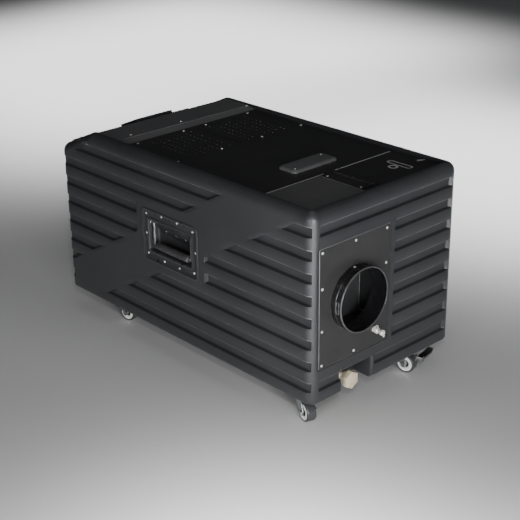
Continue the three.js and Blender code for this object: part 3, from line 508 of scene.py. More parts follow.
def screw_head(radius, height, slot=True):
    """A pan head with a cross recess, standing on Z = 0."""
    profile = [(0.01, -0.6), (radius * 0.9, -0.6)]
    profile += [(radius * r, height * h) for r, h in ((1, 0), (1, 0.35), (0.92, 0.7), (0.7, 0.92), (0.35, 1))]
    profile.append((0.01, height))
    head = spun(profile, Vector(), (0, 0, 1), 20)
    if not slot:
        return head
    for long, short in ((0.62, 0.16), (0.16, 0.62)):
        reach, width = radius * long * MM, radius * short * MM
        head = cut_mesh(head, box_mesh((-reach, -width, height * 0.35 * MM), (reach, width, 3 * height * MM)))
    return head


HEAD = screw_head(3.4, 1.7)
SMALL_HEAD = screw_head(2.9, 1.1)
RIVET = screw_head(2.9, 1.1, slot=False)


def screws(name, spots, normal, body="root", mesh=None):
    """Screws at places in millimetres, all facing one way, each turned at random."""
    spots = [(place(*spot), normal, random.uniform(0, math.pi / 2)) for spot in spots]
    return copies(name, mesh or HEAD, spots, "screw_zinc", body)


# ---- casing


def hull_top(x, y):
    """Height of the rounded outside above each place of the plan."""
    dx = np.maximum(np.abs(x) - SIDE, 0)
    best = np.full(np.shape(x), -1e9)
    for reach in np.linspace(-CORNER, CORNER, 49):
        axis_y = np.clip(y + reach, CORNER, LENGTH - CORNER)
        drop = np.maximum(axis_y - RIDGE_Y, 0) / (LENGTH - CORNER - RIDGE_Y)
        axis_z = (HEIGHT - CORNER) - drop * (HEIGHT - REAR_TOP)
        room = CORNER ** 2 - dx ** 2 - (y - axis_y) ** 2
        best = np.where(room >= -1e-6, np.maximum(best, axis_z + np.sqrt(np.maximum(room, 0))), best)
    return best


def side_places(z):
    """Places along a side at one height. The same columns follow the slanted groove ends from level to level, so
    that each end is one clean edge, and the handle opening has columns of its own."""
    lean_first = lean_last = END_LEAN
    drop = GROOVE_TOP_ROW - z
    first, last = BAND_FRONT + drop * BAND_SLOPE, BAND_BACK + drop * BAND_SLOPE
    row = round((drop + GROOVE_HEIGHT / 2) / GROOVE_PITCH)
    if 2 <= row <= 4 and first > HANDLE_FIELD[0]:
        first, lean_first = HANDLE_FIELD[0], 1
    if 2 <= row <= 4 and last < HANDLE_FIELD[1]:
        last, lean_last = HANDLE_FIELD[1], 1
    first = min(max(first, CORNER + 14), LENGTH - CORNER - 60)
    last = min(max(last, first + 30), LENGTH - CORNER - 14)
    near, far = DISH["y0"] - 2, DISH["y1"] + 2
    if first + 10 > near or far + 10 > last:
        near, far = first + (last - first) * 0.4, first + (last - first) * 0.6
    front_end = [first - lean_first * step for step in reversed(LIP_STEPS)]
    back_end = [last + lean_last * step for step in LIP_STEPS]
    return [*np.linspace(CORNER, front_end[0], 40)[:-1], *front_end, *np.linspace(front_end[-1], near, 5)[1:-1],
            *np.linspace(near, far, 5), *np.linspace(far, back_end[0], 5)[1:-1], *back_end,
            *np.linspace(back_end[-1], LENGTH - CORNER, 90)[1:]]


def stations():
    """Places round the casing's plan: x, y, outward normal x, y and which face: front 0, right 1, back 2, left 3,
    front corners 4, rear corners 5."""
    def spaced(start, end, step, marks=()):
        base = np.linspace(start, end, int(abs(end - start) / step) + 1)
        far = [v for v in base if all(abs(v - m) > 0.9 for m in marks)]
        return sorted(far + list(marks), reverse=end < start)

    plate = (PLATE_HIGH.x + 0.3, PLATE_HIGH.x + 0.9)
    pocket = (POCKET["x0"] - POCKET["round"], POCKET["x1"] + POCKET["round"])
    front_marks = (*plate, *pocket, FRONT_LEFT_END, 28, 222, 224)
    rows = [(x, 0, 0, -1, 0) for x in spaced(-SIDE, SIDE, 4.5, front_marks)]
    corner = [(SIDE, CORNER, -90), (SIDE, LENGTH - CORNER, 0), (-SIDE, LENGTH - CORNER, 90), (-SIDE, CORNER, 180)]

    def round_corner(index):
        cx, cy, start = corner[index]
        for step in range(1, 8):
            angle = math.radians(start + 90 * step / 8)
            rows.append((cx + CORNER * math.cos(angle), cy + CORNER * math.sin(angle),
                         math.cos(angle), math.sin(angle), 4 if index in (0, 3) else 5))

    round_corner(0)
    rows += [(HALF, y, 1, 0, 1) for y in side_places(0)]
    round_corner(1)
    rows += [(x, LENGTH, 0, 1, 2) for x in spaced(SIDE, -SIDE, 5, (REAR_LOW.x - 0.3, REAR_HIGH.x + 0.3))]
    round_corner(2)
    rows += [(-HALF, y, -1, 0, 3) for y in reversed(side_places(0))]
    round_corner(3)
    return np.array(rows, float)


def groove_depth(place_x, place_y, face, z, side_normal=None):
    """How far the wall is set in at each station and height, with rounded lips and a rounded floor. The side
    grooves run straight out through the rounded corners. side_normal is the normal's part across the machine."""
    deepest = np.full(z.shape, -99.0)
    for index, bottom in enumerate(GROOVE_ROWS):
        across = np.minimum(z - bottom, bottom + GROOVE_HEIGHT - z)
        middle = bottom + GROOVE_HEIGHT / 2
        drop = GROOVE_TOP_ROW - z
        behind = (place_y - (BAND_BACK + drop * BAND_SLOPE)) / END_LEAN
        before = np.minimum((BAND_FRONT + drop * BAND_SLOPE - place_y) / END_LEAN, place_y - SIDE_START)
        side = np.maximum(behind, before)
        if 2 <= index <= 4:
            side = np.minimum(side, np.maximum(HANDLE_FIELD[0] - place_y, place_y - HANDLE_FIELD[1]))
        corner = place_y - SIDE_START
        left = -SIDE + 3 if index in (0, GROOVE_COUNT - 1) else FRONT_LEFT_END
        front = np.minimum(place_x - left, FRONT_RIGHT_END - place_x)
        if index == GROOVE_COUNT - 1:
            right_of_pocket = np.where(place_x < POCKET["x1"] - 5, 99.0, place_x - POCKET["x1"] - 12)
            front = np.minimum(front, right_of_pocket)
        back = SIDE - 12 - np.abs(place_x)
        if REAR_LOW.z - 22 < middle < REAR_HIGH.z + 34:
            back = np.minimum(back, np.abs(place_x) - (REAR_HIGH.x + 22))
        zones = [face == 0, (face == 1) | (face == 3), face == 2, face == 4]
        along = np.select(zones, [front, side, back, corner], 99.0)
        deepest = np.maximum(deepest, np.minimum(across, along))
    steps = np.array([0, 0.05, 0.2, 0.62, 0.88, 0.97, 1]) * GROOVE_DEPTH
    depth = np.interp(deepest, LIP_STEPS, steps)
    if side_normal is None:
        return depth
    across = np.maximum(np.abs(side_normal), 0.05)
    return np.where(face >= 4, np.maximum(0, CORNER - (CORNER - depth) / across), depth)


def wall_levels():
    levels = [FOOT, HEIGHT - CORNER, POCKET["top"] + POCKET["round"], DISH["z0"] - 3, DISH["z1"] + 3,
              PLATE_LOW.z - 0.9, PLATE_LOW.z - 0.3, PLATE_HIGH.z + 0.3, PLATE_HIGH.z + 0.9]
    for bottom in GROOVE_ROWS:
        levels += [bottom + s for s in LIP_STEPS] + [bottom + GROOVE_HEIGHT - s for s in LIP_STEPS]
        levels += [bottom + GROOVE_HEIGHT / 2, bottom + GROOVE_HEIGHT + (GROOVE_PITCH - GROOVE_HEIGHT) / 2]
    kept = []
    for level in sorted(levels):
        if FOOT <= level <= HEIGHT - CORNER and (not kept or level - kept[-1] > 0.35):
            kept.append(level)
    return kept


def recess_floor(y):
    """Height of the recess inside the rim: panel seat, step, deck and slope."""
    seat = PANEL_LOW.z - 0.3
    spots = [0, PANEL_BACK + 0.3, PANEL_BACK + 0.5, PANEL_BACK + STEP - 3, PANEL_BACK + STEP + 1, RIDGE_Y + 2,
             RIDGE_Y + 8, LENGTH - RIM, LENGTH]
    heights = [seat, seat, PANEL_TOP, DECK_Z - 1.4, DECK_Z, DECK_Z, DECK_Z - 1.0, REAR_TOP + 2, REAR_TOP - 4]
    return np.interp(y, spots, heights)


def wall_row(base_y, face, z):
    """The stations' places along Y at one height."""
    row = base_y.copy()
    row[face == 1] = side_places(z)
    row[face == 3] = side_places(z)[::-1]
    return row


def casing_loops(x, base_y, nx, ny, face):
    """Rings of points from the inside of the foot up the wall, over the rim and down to the recess, with each
    ring's heights and places along Y."""
    loops, heights, depths = [], [], []

    def add(inset, z, y):
        inset, z = (np.broadcast_to(v, x.shape) for v in (inset, z))
        loops.append(np.stack([x - nx * inset, y - ny * inset, z], 1))
        heights.append(z)
        depths.append(y)

    y = wall_row(base_y, face, 0)
    add(WALL, 46.0, y)
    add(WALL, 0.0, y)
    for step in range(5):
        angle = math.pi / 2 * step / 4
        add(FOOT * (1 - math.sin(angle)), FOOT * (1 - math.cos(angle)), y)
    plate_zone = (face == 0) & (x < PLATE_HIGH.x + 0.6)
    rear_zone = (face == 2) & (np.abs(x) < REAR_HIGH.x + 0.5)
    for level in wall_levels()[1:]:
        y = wall_row(base_y, face, level)
        wall_top = hull_top(x, y)
        z = np.minimum(level, wall_top)
        inset = groove_depth(x, y, face, z, nx) * np.clip((wall_top - z) / 6, 0, 1)
        for zone, low, high in ((plate_zone, PLATE_LOW.z, PLATE_HIGH.z), (rear_zone, REAR_LOW.z, REAR_HIGH.z)):
            inset = np.where(zone & (low - 0.6 < level < high + 0.6), PLATE_SEAT, inset)
        add(inset, z, y)
    lip = 1.4
    for angle in np.radians([12, 24, 36, 48, 60, 70, 78]):
        inset = CORNER * (1 - math.cos(angle))
        add(inset, hull_top(x - nx * inset, y - ny * inset), y)
    for inset, drop in ((RIM - lip, 0), (RIM - lip * 0.3, lip * 0.3), (RIM, lip)):
        add(inset, hull_top(x - nx * inset, y - ny * inset) - drop, y)
    floor = np.minimum(recess_floor(y - ny * RIM), hull_top(x - nx * RIM, y - ny * RIM) - lip)
    add(RIM, floor, y)
    add(RIM + 22, floor - 0.8, y)
    return loops, heights, depths


def in_opening(face, x, y, z):
    """Whether a place of the wall lies in an opening: drain pocket, outlet, handle or rear connections."""
    if face == 0:
        reach = POCKET["round"]
        in_pocket = POCKET["x0"] - reach < x < POCKET["x1"] + reach and z < POCKET["top"] + reach
        return in_pocket or math.hypot(x - DUCT_X, z - DUCT_Z) < 90
    if face in (1, 3):
        return DISH["y0"] - 2 < y < DISH["y1"] + 2 and DISH["z0"] - 3 < z < DISH["z1"] + 3
    return face == 2 and abs(x) < REAR_HIGH.x - 14 and REAR_LOW.z + 14 < z < REAR_HIGH.z - 14


def casing_skin():
    """Points and faces of the walls, and for each face whether it is the upper lip of a groove, which gets a
    painted
    highlight: a fine light line."""
    x, base_y, nx, ny, face = stations().T
    count = len(x)
    loops, heights, depths = casing_loops(x, base_y, nx, ny, face)
    faces, lip_highlight_faces = [], []
    middles = [bottom + GROOVE_HEIGHT / 2 for bottom in GROOVE_ROWS]
    cut_in = [groove_depth(x, wall_row(base_y, face, z), face, np.full(count, z), nx) > GROOVE_DEPTH * 0.5
              for z in middles]
    for row in range(len(loops) - 1):
        for i in range(count):
            j = (i + 1) % count
            mid_x, mid_y = (x[i] + x[j]) / 2, (depths[row][i] + depths[row + 1][j]) / 2
            mid_z = (heights[row][i] + heights[row + 1][i]) / 2
            if in_opening(face[i], mid_x, mid_y, mid_z):
                continue
            a, b = row * count + i, row * count + j
            faces.append((a, b, b + count, a + count))
            lip_highlight_faces.append(any(-0.9 < mid_z - (bottom + GROOVE_HEIGHT) < 1.5 and cut[i]
                            for bottom, cut in zip(GROOVE_ROWS, cut_in)))
    return np.concatenate(loops), faces, lip_highlight_faces


def deck_skin():
    """The step behind the panel, the flat deck and the slope down to the rear rim."""
    xs = np.linspace(-HALF + RIM, HALF - RIM, 13)
    ys = [PANEL_BACK + 0.3, PANEL_BACK + 0.5, PANEL_BACK + 4, PANEL_BACK + 19, PANEL_BACK + 21, PANEL_BACK + 23,
          RIDGE_Y - 40, RIDGE_Y + 1, RIDGE_Y + 4, RIDGE_Y + 8, RIDGE_Y + 60, LENGTH - RIM]
    points = [(x, y, float(recess_floor(y))) for y in ys for x in xs]
    return np.array(points), grid(len(ys), len(xs))


def pocket_skin():
    """The drain pocket's walls and roof, with a rounded mouth that follows the casing's rounded foot."""
    def mouth_inset(x, z):
        foot = FOOT * (1 - math.sqrt(1 - (1 - min(z, FOOT) / FOOT) ** 2))
        groove = groove_depth(np.array([x]), np.zeros(1), np.zeros(1), np.array([float(z)]))[0]
        return foot + groove

    r = POCKET["round"]
    profile = [(r * (1 - math.sin(t)), r * (1 - math.cos(t))) for t in np.radians([90, 67, 45, 22, 0])]
    profile += [(12, 0), (POCKET["back"], 0)]
    levels = [0, 1, 3, 6] + [z for z in wall_levels() if z < POCKET["top"]]
    loops = []
    for depth, out in profile:
        left, right, top = POCKET["x0"] - out, POCKET["x1"] + out, POCKET["top"] + out
        line = [(left, z) for z in levels] + [(left, top), (right, top)] + [(right, z) for z in reversed(levels)]
        fade = max(0.0, 1 - depth / 12)
        loops.append([(px, depth + mouth_inset(px, pz) * fade, pz) for px, pz in line])
    points = [p for loop in loops for p in loop]
    count = len(loops[0])
    back_wall = tuple(range(len(points) - count, len(points)))
    return np.array(points), grid(len(loops), count) + [back_wall]


def build_casing():
    points, faces, lip_highlight_faces = casing_skin()
    for more_points, more_faces in (deck_skin(), pocket_skin()):
        shift = len(points)
        points = np.concatenate([points, more_points])
        faces += [tuple(k + shift for k in f) for f in more_faces]
    mesh = mesh_of([place(*p) for p in points], faces)
    # The groove upper lips wear the painted highlight, a fine light line.
    for face, lip in zip(mesh.polygons, lip_highlight_faces):
        face.material_index = int(lip)
    for face in list(mesh.polygons)[len(lip_highlight_faces):]:
        on_deck = PANEL_BACK < (face.center.y - CASE_LOW.y) / MM < RIDGE_Y and face.normal.z > 0.3
        face.material_index = 2 if on_deck else 0
    shell = link("casing_shell", tidy(mesh), "casing", nodes=("casing",), sharp=50, second="painted_edge_highlight")
    shell.data.materials.append(LOOK["deck_coat"])


build_casing()
polish("base_plate", "satin_metal", width=0.8)


# ---- top panel

VENT = dict(first=32.5, across=21.3, columns=7, y0=508, along=15.2, rows=11, radius=3.1)


def vent_holes():
    """Centres of the round holes in the two vent fields; every second column is set back half a step."""
    spots = []
    for hand in (-1, 1):
        for column in range(VENT["columns"]):
            stagger = column % 2
            x = hand * (VENT["first"] + column * VENT["across"])
            spots += [(x, VENT["y0"] + (row + stagger / 2) * VENT["along"])
                      for row in range(VENT["rows"] - stagger)]
    return spots


def circle(x, y, radius, sides=10):
    return [(x + radius * math.cos(2 * math.pi * k / sides), y + radius * math.sin(2 * math.pi * k / sides))
            for k in range(sides)]


def build_top():
    edge = rounded(PANEL_LOW.x, PANEL_HIGH.x, PANEL_LOW.y, PANEL_BACK, 8)
    opening = rounded(LID_LOW.x + 14, -53, LID_LOW.y + 14, LID_HIGH.y - 14, 4)
    holes = [circle(x, y, VENT["radius"]) for x, y in vent_holes()]
    sheet = flat_sheet("top_panel_sheet", [edge, opening, *holes], PANEL_LOW.z, PANEL_TOP, "panel_coat",
                       ("top_panel",))
    sheet.data.materials.append(LOOK["seam"])
    # The walls of the vent holes wear the lighter seam look, so the holes show as light dots.
    for face in sheet.data.polygons:
        y = (face.center.y - CASE_LOW.y) / MM
        if abs(face.normal.z) < 0.5 and abs(y - 584) < 84 and abs(face.center.x) < 0.18:
            face.material_index = 1
    back_row = [(x, 682, PANEL_TOP) for x in (-190, -39, 38, 189)]
    middle_row = [(x, 499, PANEL_TOP) for x in (-209, -67, 72, 214)]
    screws("panel_screws", back_row + middle_row, (0, 0, 1))


build_top()


def build_cover():
    """The low rounded cover in the middle of the panel."""
    low, high = local_box("receiver_cover")
    rise = high.z - low.z
    loops = []
    for inset, level in ((0, 0), (0, 0.25), (0.6, 0.5), (2.2, 0.72), (4.2, 0.88), (7, 0.97), (10, 1.0)):
        ring = rounded(low.x + inset, high.x - inset, low.y + inset, high.y - inset, 14 - inset * 0.6, 8)
        loops.append([place(a, b, low.z + rise * level) for a, b in ring])
    link("receiver_cover_shell", tidy(strip(loops, caps=(True, True))), "cover_plastic",
         nodes=("receiver_cover",), sharp=50)
    top = high.z - 0.4
    screws("receiver_cover_screws", [(-58, 246, top), (62, 278, top)], (0, 0, 1), mesh=SMALL_HEAD)


def build_lid():
    lid = polish("fill_lid", "panel_coat", "lid", width=0.7)
    lid.data.materials.append(LOOK["lid_metal"])
    # The lid's plate wears the lighter coat, partly its own finish and partly a painted reflection; the strap end
    # keeps the panel's coat.
    for face in lid.data.polygons:
        face.material_index = 1 if face.center.x < (LID_LOW.x + 178) * MM else 0
    strap_top = PANEL_TOP + 3.1
    screws("lid_screws", [(-33, 164, strap_top), (-33, 58, strap_top)], (0, 0, 1), "lid", SMALL_HEAD)
    polish("lid_hinge_base", "panel_coat", width=0.3)
    leaf_top = PANEL_TOP + 1.8
    screws("hinge_rivets", [(5.5, y, leaf_top) for y in (57, 89, 121, 153)], (0, 0, 1),
           mesh=screw_head(1.9, 1.0, slot=False))


def build_print():
    """White lines and a plain pictogram printed on the panel."""
    level = PANEL_TOP + 0.12
    for index, (x0, x1) in enumerate(((-214, -22), (16, 215))):
        flat_sheet(f"printed_line_{index + 1}", [rounded(x0, x1, 185.2, 188.4, 1)], PANEL_TOP, level, "ink")
    sign = rounded(147, 166, 67.5, 142, 7), rounded(150.4, 162.6, 70.9, 138.6, 4)
    flat_sheet("printed_sign_bar", sign, PANEL_TOP, level, "ink")
    ring = [circle(132, 105, radius, 28) for radius in (12.5, 7.5)]
    flat_sheet("printed_sign_ring", ring, PANEL_TOP, level, "ink")
    # A short bright metal bar, set at a slant, lies flat on the panel near its right edge.
    turn = math.radians(-30)
    bar = [(217 + a * math.cos(turn) - b * math.sin(turn), 90 + a * math.sin(turn) + b * math.cos(turn))
           for a, b in rounded(-10.5, 10.5, -2.8, 2.8, 2.7)]
    flat_sheet("panel_bright_bar", [bar], PANEL_TOP, PANEL_TOP + 0.8, "screw_zinc")
    # Painted shade: a thin dark strip along the middle of the panel stands in for the shade of a crease.
    flat_sheet("panel_crease_shade", [rounded(-0.8, 0.8, 500, 656, 0.6)], PANEL_TOP, PANEL_TOP + 0.5, "satin_metal")


build_cover()
build_lid()
build_print()


# ---- front

PLATE_FACE = PLATE_LOW.y


def on_front(a, b, level):
    """A place near the front: a across, b up, level out of the face."""
    return place(a, -level, b)


def build_front_plate():
    # The plate's bevel faces wear the painted highlight look.
    polish("front_plate", "plate_coat", width=0.9, highlight_look="painted_edge_highlight")
    left, right = PLATE_LOW.x + 9, PLATE_HIGH.x - 12.5
    spots = [(x, PLATE_FACE, z) for x in (left, right) for z in (98, 184.5, 290, 377)]
    spots += [(DUCT_X, PLATE_FACE, 98.3), (DUCT_X, PLATE_FACE, 376.7)]
    screws("front_plate_screws", spots, (0, -1, 0))


def build_duct():
    inner, tube_radius = 76.5, 78.4
    profile = [
        (inner, -18), (tube_radius, -18), (tube_radius, 10.6), (79.0, 11.1), (79.4, 12), (79.0, 12.9),
        (tube_radius, 13.4), (tube_radius, 26.2), (79.2, 26.8), (79.9, 28), (79.9, 29.6), (79.2, 30.6), (78.2, 31),
        (77.1, 30.8), (76.6, 30), (inner, 28.5), (inner, -18),
    ]
    centre = place(DUCT_X, 0, DUCT_Z)
    duct = spun(profile, centre, (0, -1, 0), 120)
    # The lip's faces wear the lighter painted highlight look.
    for face in duct.polygons:
        face.material_index = int(face.center.y < place(0, -27, 0).y)
    link("outlet_duct_shell", duct, "gloss_black", nodes=("outlet_duct",), sharp=40, second="duct_lip_highlight")

    def on_tube(along, up, lift=0.3):
        angle = math.pi + up / tube_radius
        reach = tube_radius + lift
        return place(DUCT_X + reach * math.cos(angle), along, DUCT_Z - reach * math.sin(angle))

    lip = [place(DUCT_X + 78.2 * math.cos(t), -29.6, DUCT_Z + 78.2 * math.sin(t))
           for t in np.linspace(0, 2 * math.pi, 97)[:-1]]
    # The rolled lip's bead wears the painted highlight look too.
    tube("outlet_lip_edge", lip, 1.3, "duct_lip_highlight", closed=True)
    slot = [on_tube(a, b) for a, b in rounded(-22.5, -14.5, -15, 15, 3.5, 5)]
    tube("outlet_slot_edge", slot, 0.6, "seam", closed=True)
    rows = [[on_tube(a, b, 0.15) for a in (-21.8, -15.2)] for b in np.linspace(-13, 13, 9)]
    link("outlet_slot", tidy(strip(rows, closed=False)), "black_plastic")
    tip = math.radians(98)
    reach = tube_radius + 0.2
    screws("outlet_screw", [(DUCT_X + reach * math.cos(tip), -7, DUCT_Z + reach * math.sin(tip))],
           (math.cos(tip), 0, math.sin(tip)), mesh=SMALL_HEAD)


def build_plenum():
    polish("outlet_plenum", "satin_metal", width=0.4)
    low, high = local_box("outlet_plenum")
    wall = 3.4
    x0, x1, z0, z1, back = low.x + wall, high.x - wall, low.z + wall, high.z - wall, high.y - 1
    runs = {"side": [(x1, back, z0), (x1, back, z1)], "bottom": [(x0, back, z0), (x1, back, z0)],
            "top": [(x0, back, z1), (x1, back, z1)], "low_side": [(x1, back, z0), (x1, 6, z0)]}
    for name, ends in runs.items():
        tube(f"plenum_seam_{name}", [place(*p) for p in ends], 0.7, "seam")


def build_connector():
    x, z = across_and_up("hose_connector")
    hexagon_body = prism(hexagon(8.3, (x, z), 15), 5.2, 13.8, 1.0, on_front)
    profile = [(0, 31), (4.5, 31), (6.1, 30.4), (7.1, 29), (7.3, 26), (7.1, 23.4), (6.2, 21.6), (5.2, 20.4),
               (4.8, 17.5), (5, 14), (5, 4), (6.6, 3.2), (6.9, 1.8), (6.9, 0), (0, 0)]
    link("hose_connector_hexagon", hexagon_body, "bright_nickel", nodes=("hose_connector",),
         sharp=30)
    link("hose_connector_nipple", spun(profile, place(x, 0, z), (0, -1, 0), 40), "bright_nickel")
    arc = [place(x - 1 + 6.2 * math.cos(t), -9, z + 6 + 6.2 * math.sin(t))
           for t in np.radians(range(-10, 191, 10))]
    tube("hose_connector_clip", arc, 1.1, "bright_nickel")


def build_drain():
    low, high = local_box("drain_cap")
    x, z = across_and_up("drain_cap")
    centre = place(x, 0, z)
    cap = prism(hexagon((high.z - low.z) / 2, (x, z), 30), -13.5, -low.y, 1.6, on_front)
    link("drain_cap_hexagon", cap, "brass", "drain_cap", nodes=("drain_cap",), sharp=30)
    face = [(0, -0.2), (14.5, -0.2), (15.6, -0.55), (16.2, -1.25), (15.2, -1.25)]
    link("drain_cap_face_ring", spun(face, centre, (0, -1, 0), 48), "brass", "drain_cap", sharp=60)
    collar = [(13.4, -22), (16.6, -22), (17.4, -21.2), (17.4, -13.2), (13.4, -13.2)]
    link("drain_cap_collar", spun(collar, centre, (0, -1, 0), 48), "brass", "drain_cap")
    thread = [(0, -7), (11.8, -7)]
    for turn in range(24):
        thread += [(12.9, -7.8 - turn * 2.1), (12.0, -8.85 - turn * 2.1)]
    thread += [(12.4, -70), (0, -70)]
    link("drain_thread", spun(thread, centre, (0, -1, 0), 40), "brass", nodes=("drain_pipe",), sharp=25)
    nut = prism(hexagon(19.5, (x, z), 10), -57.6, -48.4, 1.2, on_front)
    link("drain_lock_nut", nut, "brass", sharp=30)
    elbow = bend([place(x, 68, z) / MM, place(x, 110, z) / MM, place(x, 110, 63) / MM], 30)
    tube("drain_bend", [p * MM for p in elbow], 12, "brass")


build_front_plate()
build_duct()
build_plenum()
build_connector()
build_drain()


# ---- rear


def build_rear():
    polish("control_panel", "deck_coat", width=0.6).name = "control_panel_sheet"
    polish("display_housing", "casing", width=1.6, segments=3)
    polish("display_window", "display_glass", width=0.4)
    for index in range(1, 5):
        polish(f"menu_button_{index}", "black_rubber", f"menu_button_{index}", width=1.2, segments=3)
    deck_top = local_box("control_panel")[1].z
    screws("deck_screws", [(-172, 735, deck_top), (-5, 733, deck_top), (217, 716, deck_top)], (0, 0, 1))
    ridge_y = RIDGE_Y + 5
    rise = math.atan2(DECK_Z - REAR_TOP - 2, LENGTH - RIM - ridge_y)
    down = Vector((0, math.cos(rise), -math.sin(rise)))
    normal = Vector((0, math.sin(rise), math.cos(rise)))
    ridge = Vector((0, ridge_y, deck_top))
    spots = []
    for x in (-214, 214):
        for along in (16, 96):
            p = ridge + down * along
            spots.append((x, p.y, p.z))
    screws("control_panel_screws", spots, normal)
    polish("rear_plate", "satin_metal", width=0.5)
    face = REAR_HIGH.y
    spots = [(x, face, z) for x in (REAR_LOW.x + 9, REAR_HIGH.x - 9) for z in (REAR_LOW.z + 9, REAR_HIGH.z - 9)]
    screws("rear_plate_screws", spots, (0, 1, 0), mesh=screw_head(3.6, 0.55))
    polish("power_inlet", "black_plastic", width=0.5)
    polish("power_switch", "black_plastic", "power_switch", width=0.7)
    for name in ("data_socket_in", "data_socket_out"):
        polish(name, "zinc_steel", width=0.3)
        x, z = across_and_up(name)
        depth = local_box(name)[1].y - 14
        pins = [(place(x + 6.2 * math.cos(t), depth, z + 6.2 * math.sin(t)), (0, 1, 0), 0.0)
                for t in np.radians([90, 162, 234, 306, 18])]
        pin = spun([(0, -1), (0.9, -1), (0.9, 7), (0.5, 7.8), (0, 8)], Vector(), (0, 0, 1), 10)
        copies(name + "_pins", pin, pins, "brass")


build_rear()


# ---- handles


HANDLE_LIP = 1.6
BAIL_RADIUS = 3.9
SPRING_RADIUS, SPRING_TURNS = 5.0, 2


def handle_loop(hand, y0, y1, z0, z1, radius, x):
    """A rounded rectangle on one side of the machine, x out from the middle."""
    return [place(hand * x, a, b) for a, b in rounded(y0, y1, z0, z1, radius, 6)]


def build_dish(hand, tag, low, high, outer):
    """The pressed sheet: its flange's raised border, the bead round the opening and the dish's walls and floor."""
    y0, y1, z0, z1 = low.y, high.y, low.z, high.z
    sheet, d = outer - HANDLE_LIP, DISH
    loops = [handle_loop(hand, y0 + i, y1 - i, z0 + i, z1 - i, 15 - i * 0.8, x) for i, x in (
        (0.4, HALF + 0.1), (0, outer - 1.3), (0.6, outer - 0.5), (1.6, outer - 0.1), (3.0, outer),
        (4.6, outer - 0.15), (6.0, outer - 0.9), (7.0, sheet - 0.05))]
    floor = HALF - d["depth"]
    loops += [handle_loop(hand, d["y0"] - grow, d["y1"] + grow, d["z0"] - grow, d["z1"] + grow, radius, x)
              for grow, x, radius in (
        (8.0, sheet, 10), (6.6, sheet + 0.1, 9), (5.2, outer - 0.5, 8), (3.2, outer, 6), (1.2, outer - 0.1, 5),
        (-0.6, outer - 0.9, 4), (-1.6, HALF - 1, 4), (-2.0, floor + 6, 4), (-4.0, floor + 3, 5),
        (-8.0, floor + 2.1, 6))]
    link(f"handle_dish_{tag}_shell", tidy(strip(loops, caps=(False, True))), "handle_metal",
         nodes=(f"handle_dish_{tag}",), sharp=45)
    outer_edge = handle_loop(hand, y0 + 2.6, y1 - 2.6, z0 + 2.6, z1 - 2.6, 13, outer - 0.7)
    inner_edge = handle_loop(hand, d["y0"] - 2.4, d["y1"] + 2.4, d["z0"] - 2.4, d["z1"] + 2.4, 6, outer - 0.7)
    # Raised beads round the flange and the opening, coloured with the painted highlight look.
    for name, edge_line in (("outer", outer_edge), ("inner", inner_edge)):
        tube(f"handle_edge_{tag}_{name}", edge_line, 0.7, "painted_edge_highlight", closed=True)


def build_bail(hand, tag):
    """The sprung rod with its round grip, and the coils at its pivots."""
    body = f"handle_{tag}"
    low, high = local_box(f"handle_bail_{tag}")
    x = hand * (low.x + high.x) / 2
    pivot, foot = high.z - 4, low.z + 4
    ends = low.y + 0.2, high.y - 0.2
    arms = ends[0] + 10.5, ends[1] - 10.5
    corners = [(ends[0], pivot), (arms[0], pivot), (arms[0], foot), (arms[1], foot), (arms[1], pivot),
               (ends[1], pivot)]
    line = bend([(x, y, z) for y, z in corners], [5, 7, 7, 5])
    rod = [place(hand * p.x, p.y, p.z) for p in line]
    tube(f"handle_bail_{tag}_rod", rod, BAIL_RADIUS, "bail_metal", body, (f"handle_bail_{tag}",))

    low, high = local_box(f"handle_grip_{tag}")
    span = (high.y - low.y) / 2
    radius = (high.z - low.z) / 2 - 0.1
    bore = BAIL_RADIUS + 0.5
    cuff = [(bore, -span), (radius - 1.4, -span), (radius - 0.6, -span + 0.5), (radius - 0.4, -span + 1.6),
            (radius - 0.6, -span + 2.6), (bore, -span + 2.6), (bore, -span)]
    sleeve = [(bore, -span + 2.6), (radius - 0.9, -span + 2.6), (radius - 0.2, -span + 4), (radius, -span + 14)]
    sleeve += [(r, -s) for r, s in reversed(sleeve)] + [sleeve[0]]
    centre = place(hand * x, (low.y + high.y) / 2, foot)
    link(f"handle_grip_{tag}_sleeve", spun(sleeve, centre, (0, 1, 0), 36), "grip_plastic", body,
         nodes=(f"handle_grip_{tag}",))
    for side in (-1, 1):
        link(f"handle_cuff_{tag}_{'ab'[side > 0]}", spun(cuff, centre, (0, -side, 0), 36), "bail_metal", body)

    turns = np.linspace(0, 2 * math.pi * SPRING_TURNS, 48)
    for side, (start, step) in enumerate(((DISH["y0"] + 2.7, 1), (DISH["y1"] - 2.7, -1))):
        coil = [place(hand * (x + SPRING_RADIUS * math.cos(t)), start + step * 1.8 * t / turns[-1],
                      pivot + SPRING_RADIUS * math.sin(t)) for t in turns]
        tube(f"handle_spring_{tag}_{side + 1}", coil, 0.5, "nickel", resolution=2)


def build_brow(hand, tag):
    """A riveted plate that slopes from the top of the dish down to its back."""
    head, foot = Vector((HALF - 4, DISH["z1"] - 3.2)), Vector((HALF - 29, 262))
    down = (foot - head).normalized()
    face_out = Vector((-down.y, down.x))
    length = (foot - head).length

    def on_brow(y, along, level):
        spot = head + down * along + face_out * level
        return place(hand * spot.x, y, spot.y)

    brow = prism(rounded(DISH["y0"] + 18.5, DISH["y1"] - 18.5, 0, length, 2), -2.5, 0, 0.5, on_brow)
    link(f"handle_brow_{tag}", brow, "handle_metal", sharp=30)
    tilt = Vector((hand * face_out.x, 0, face_out.y))
    rivets = [(on_brow(y, length * 0.62, 0), tilt, 0.0) for y in (455, 493, 531)]
    copies(f"handle_brow_rivets_{tag}", RIVET, rivets, "bail_metal")


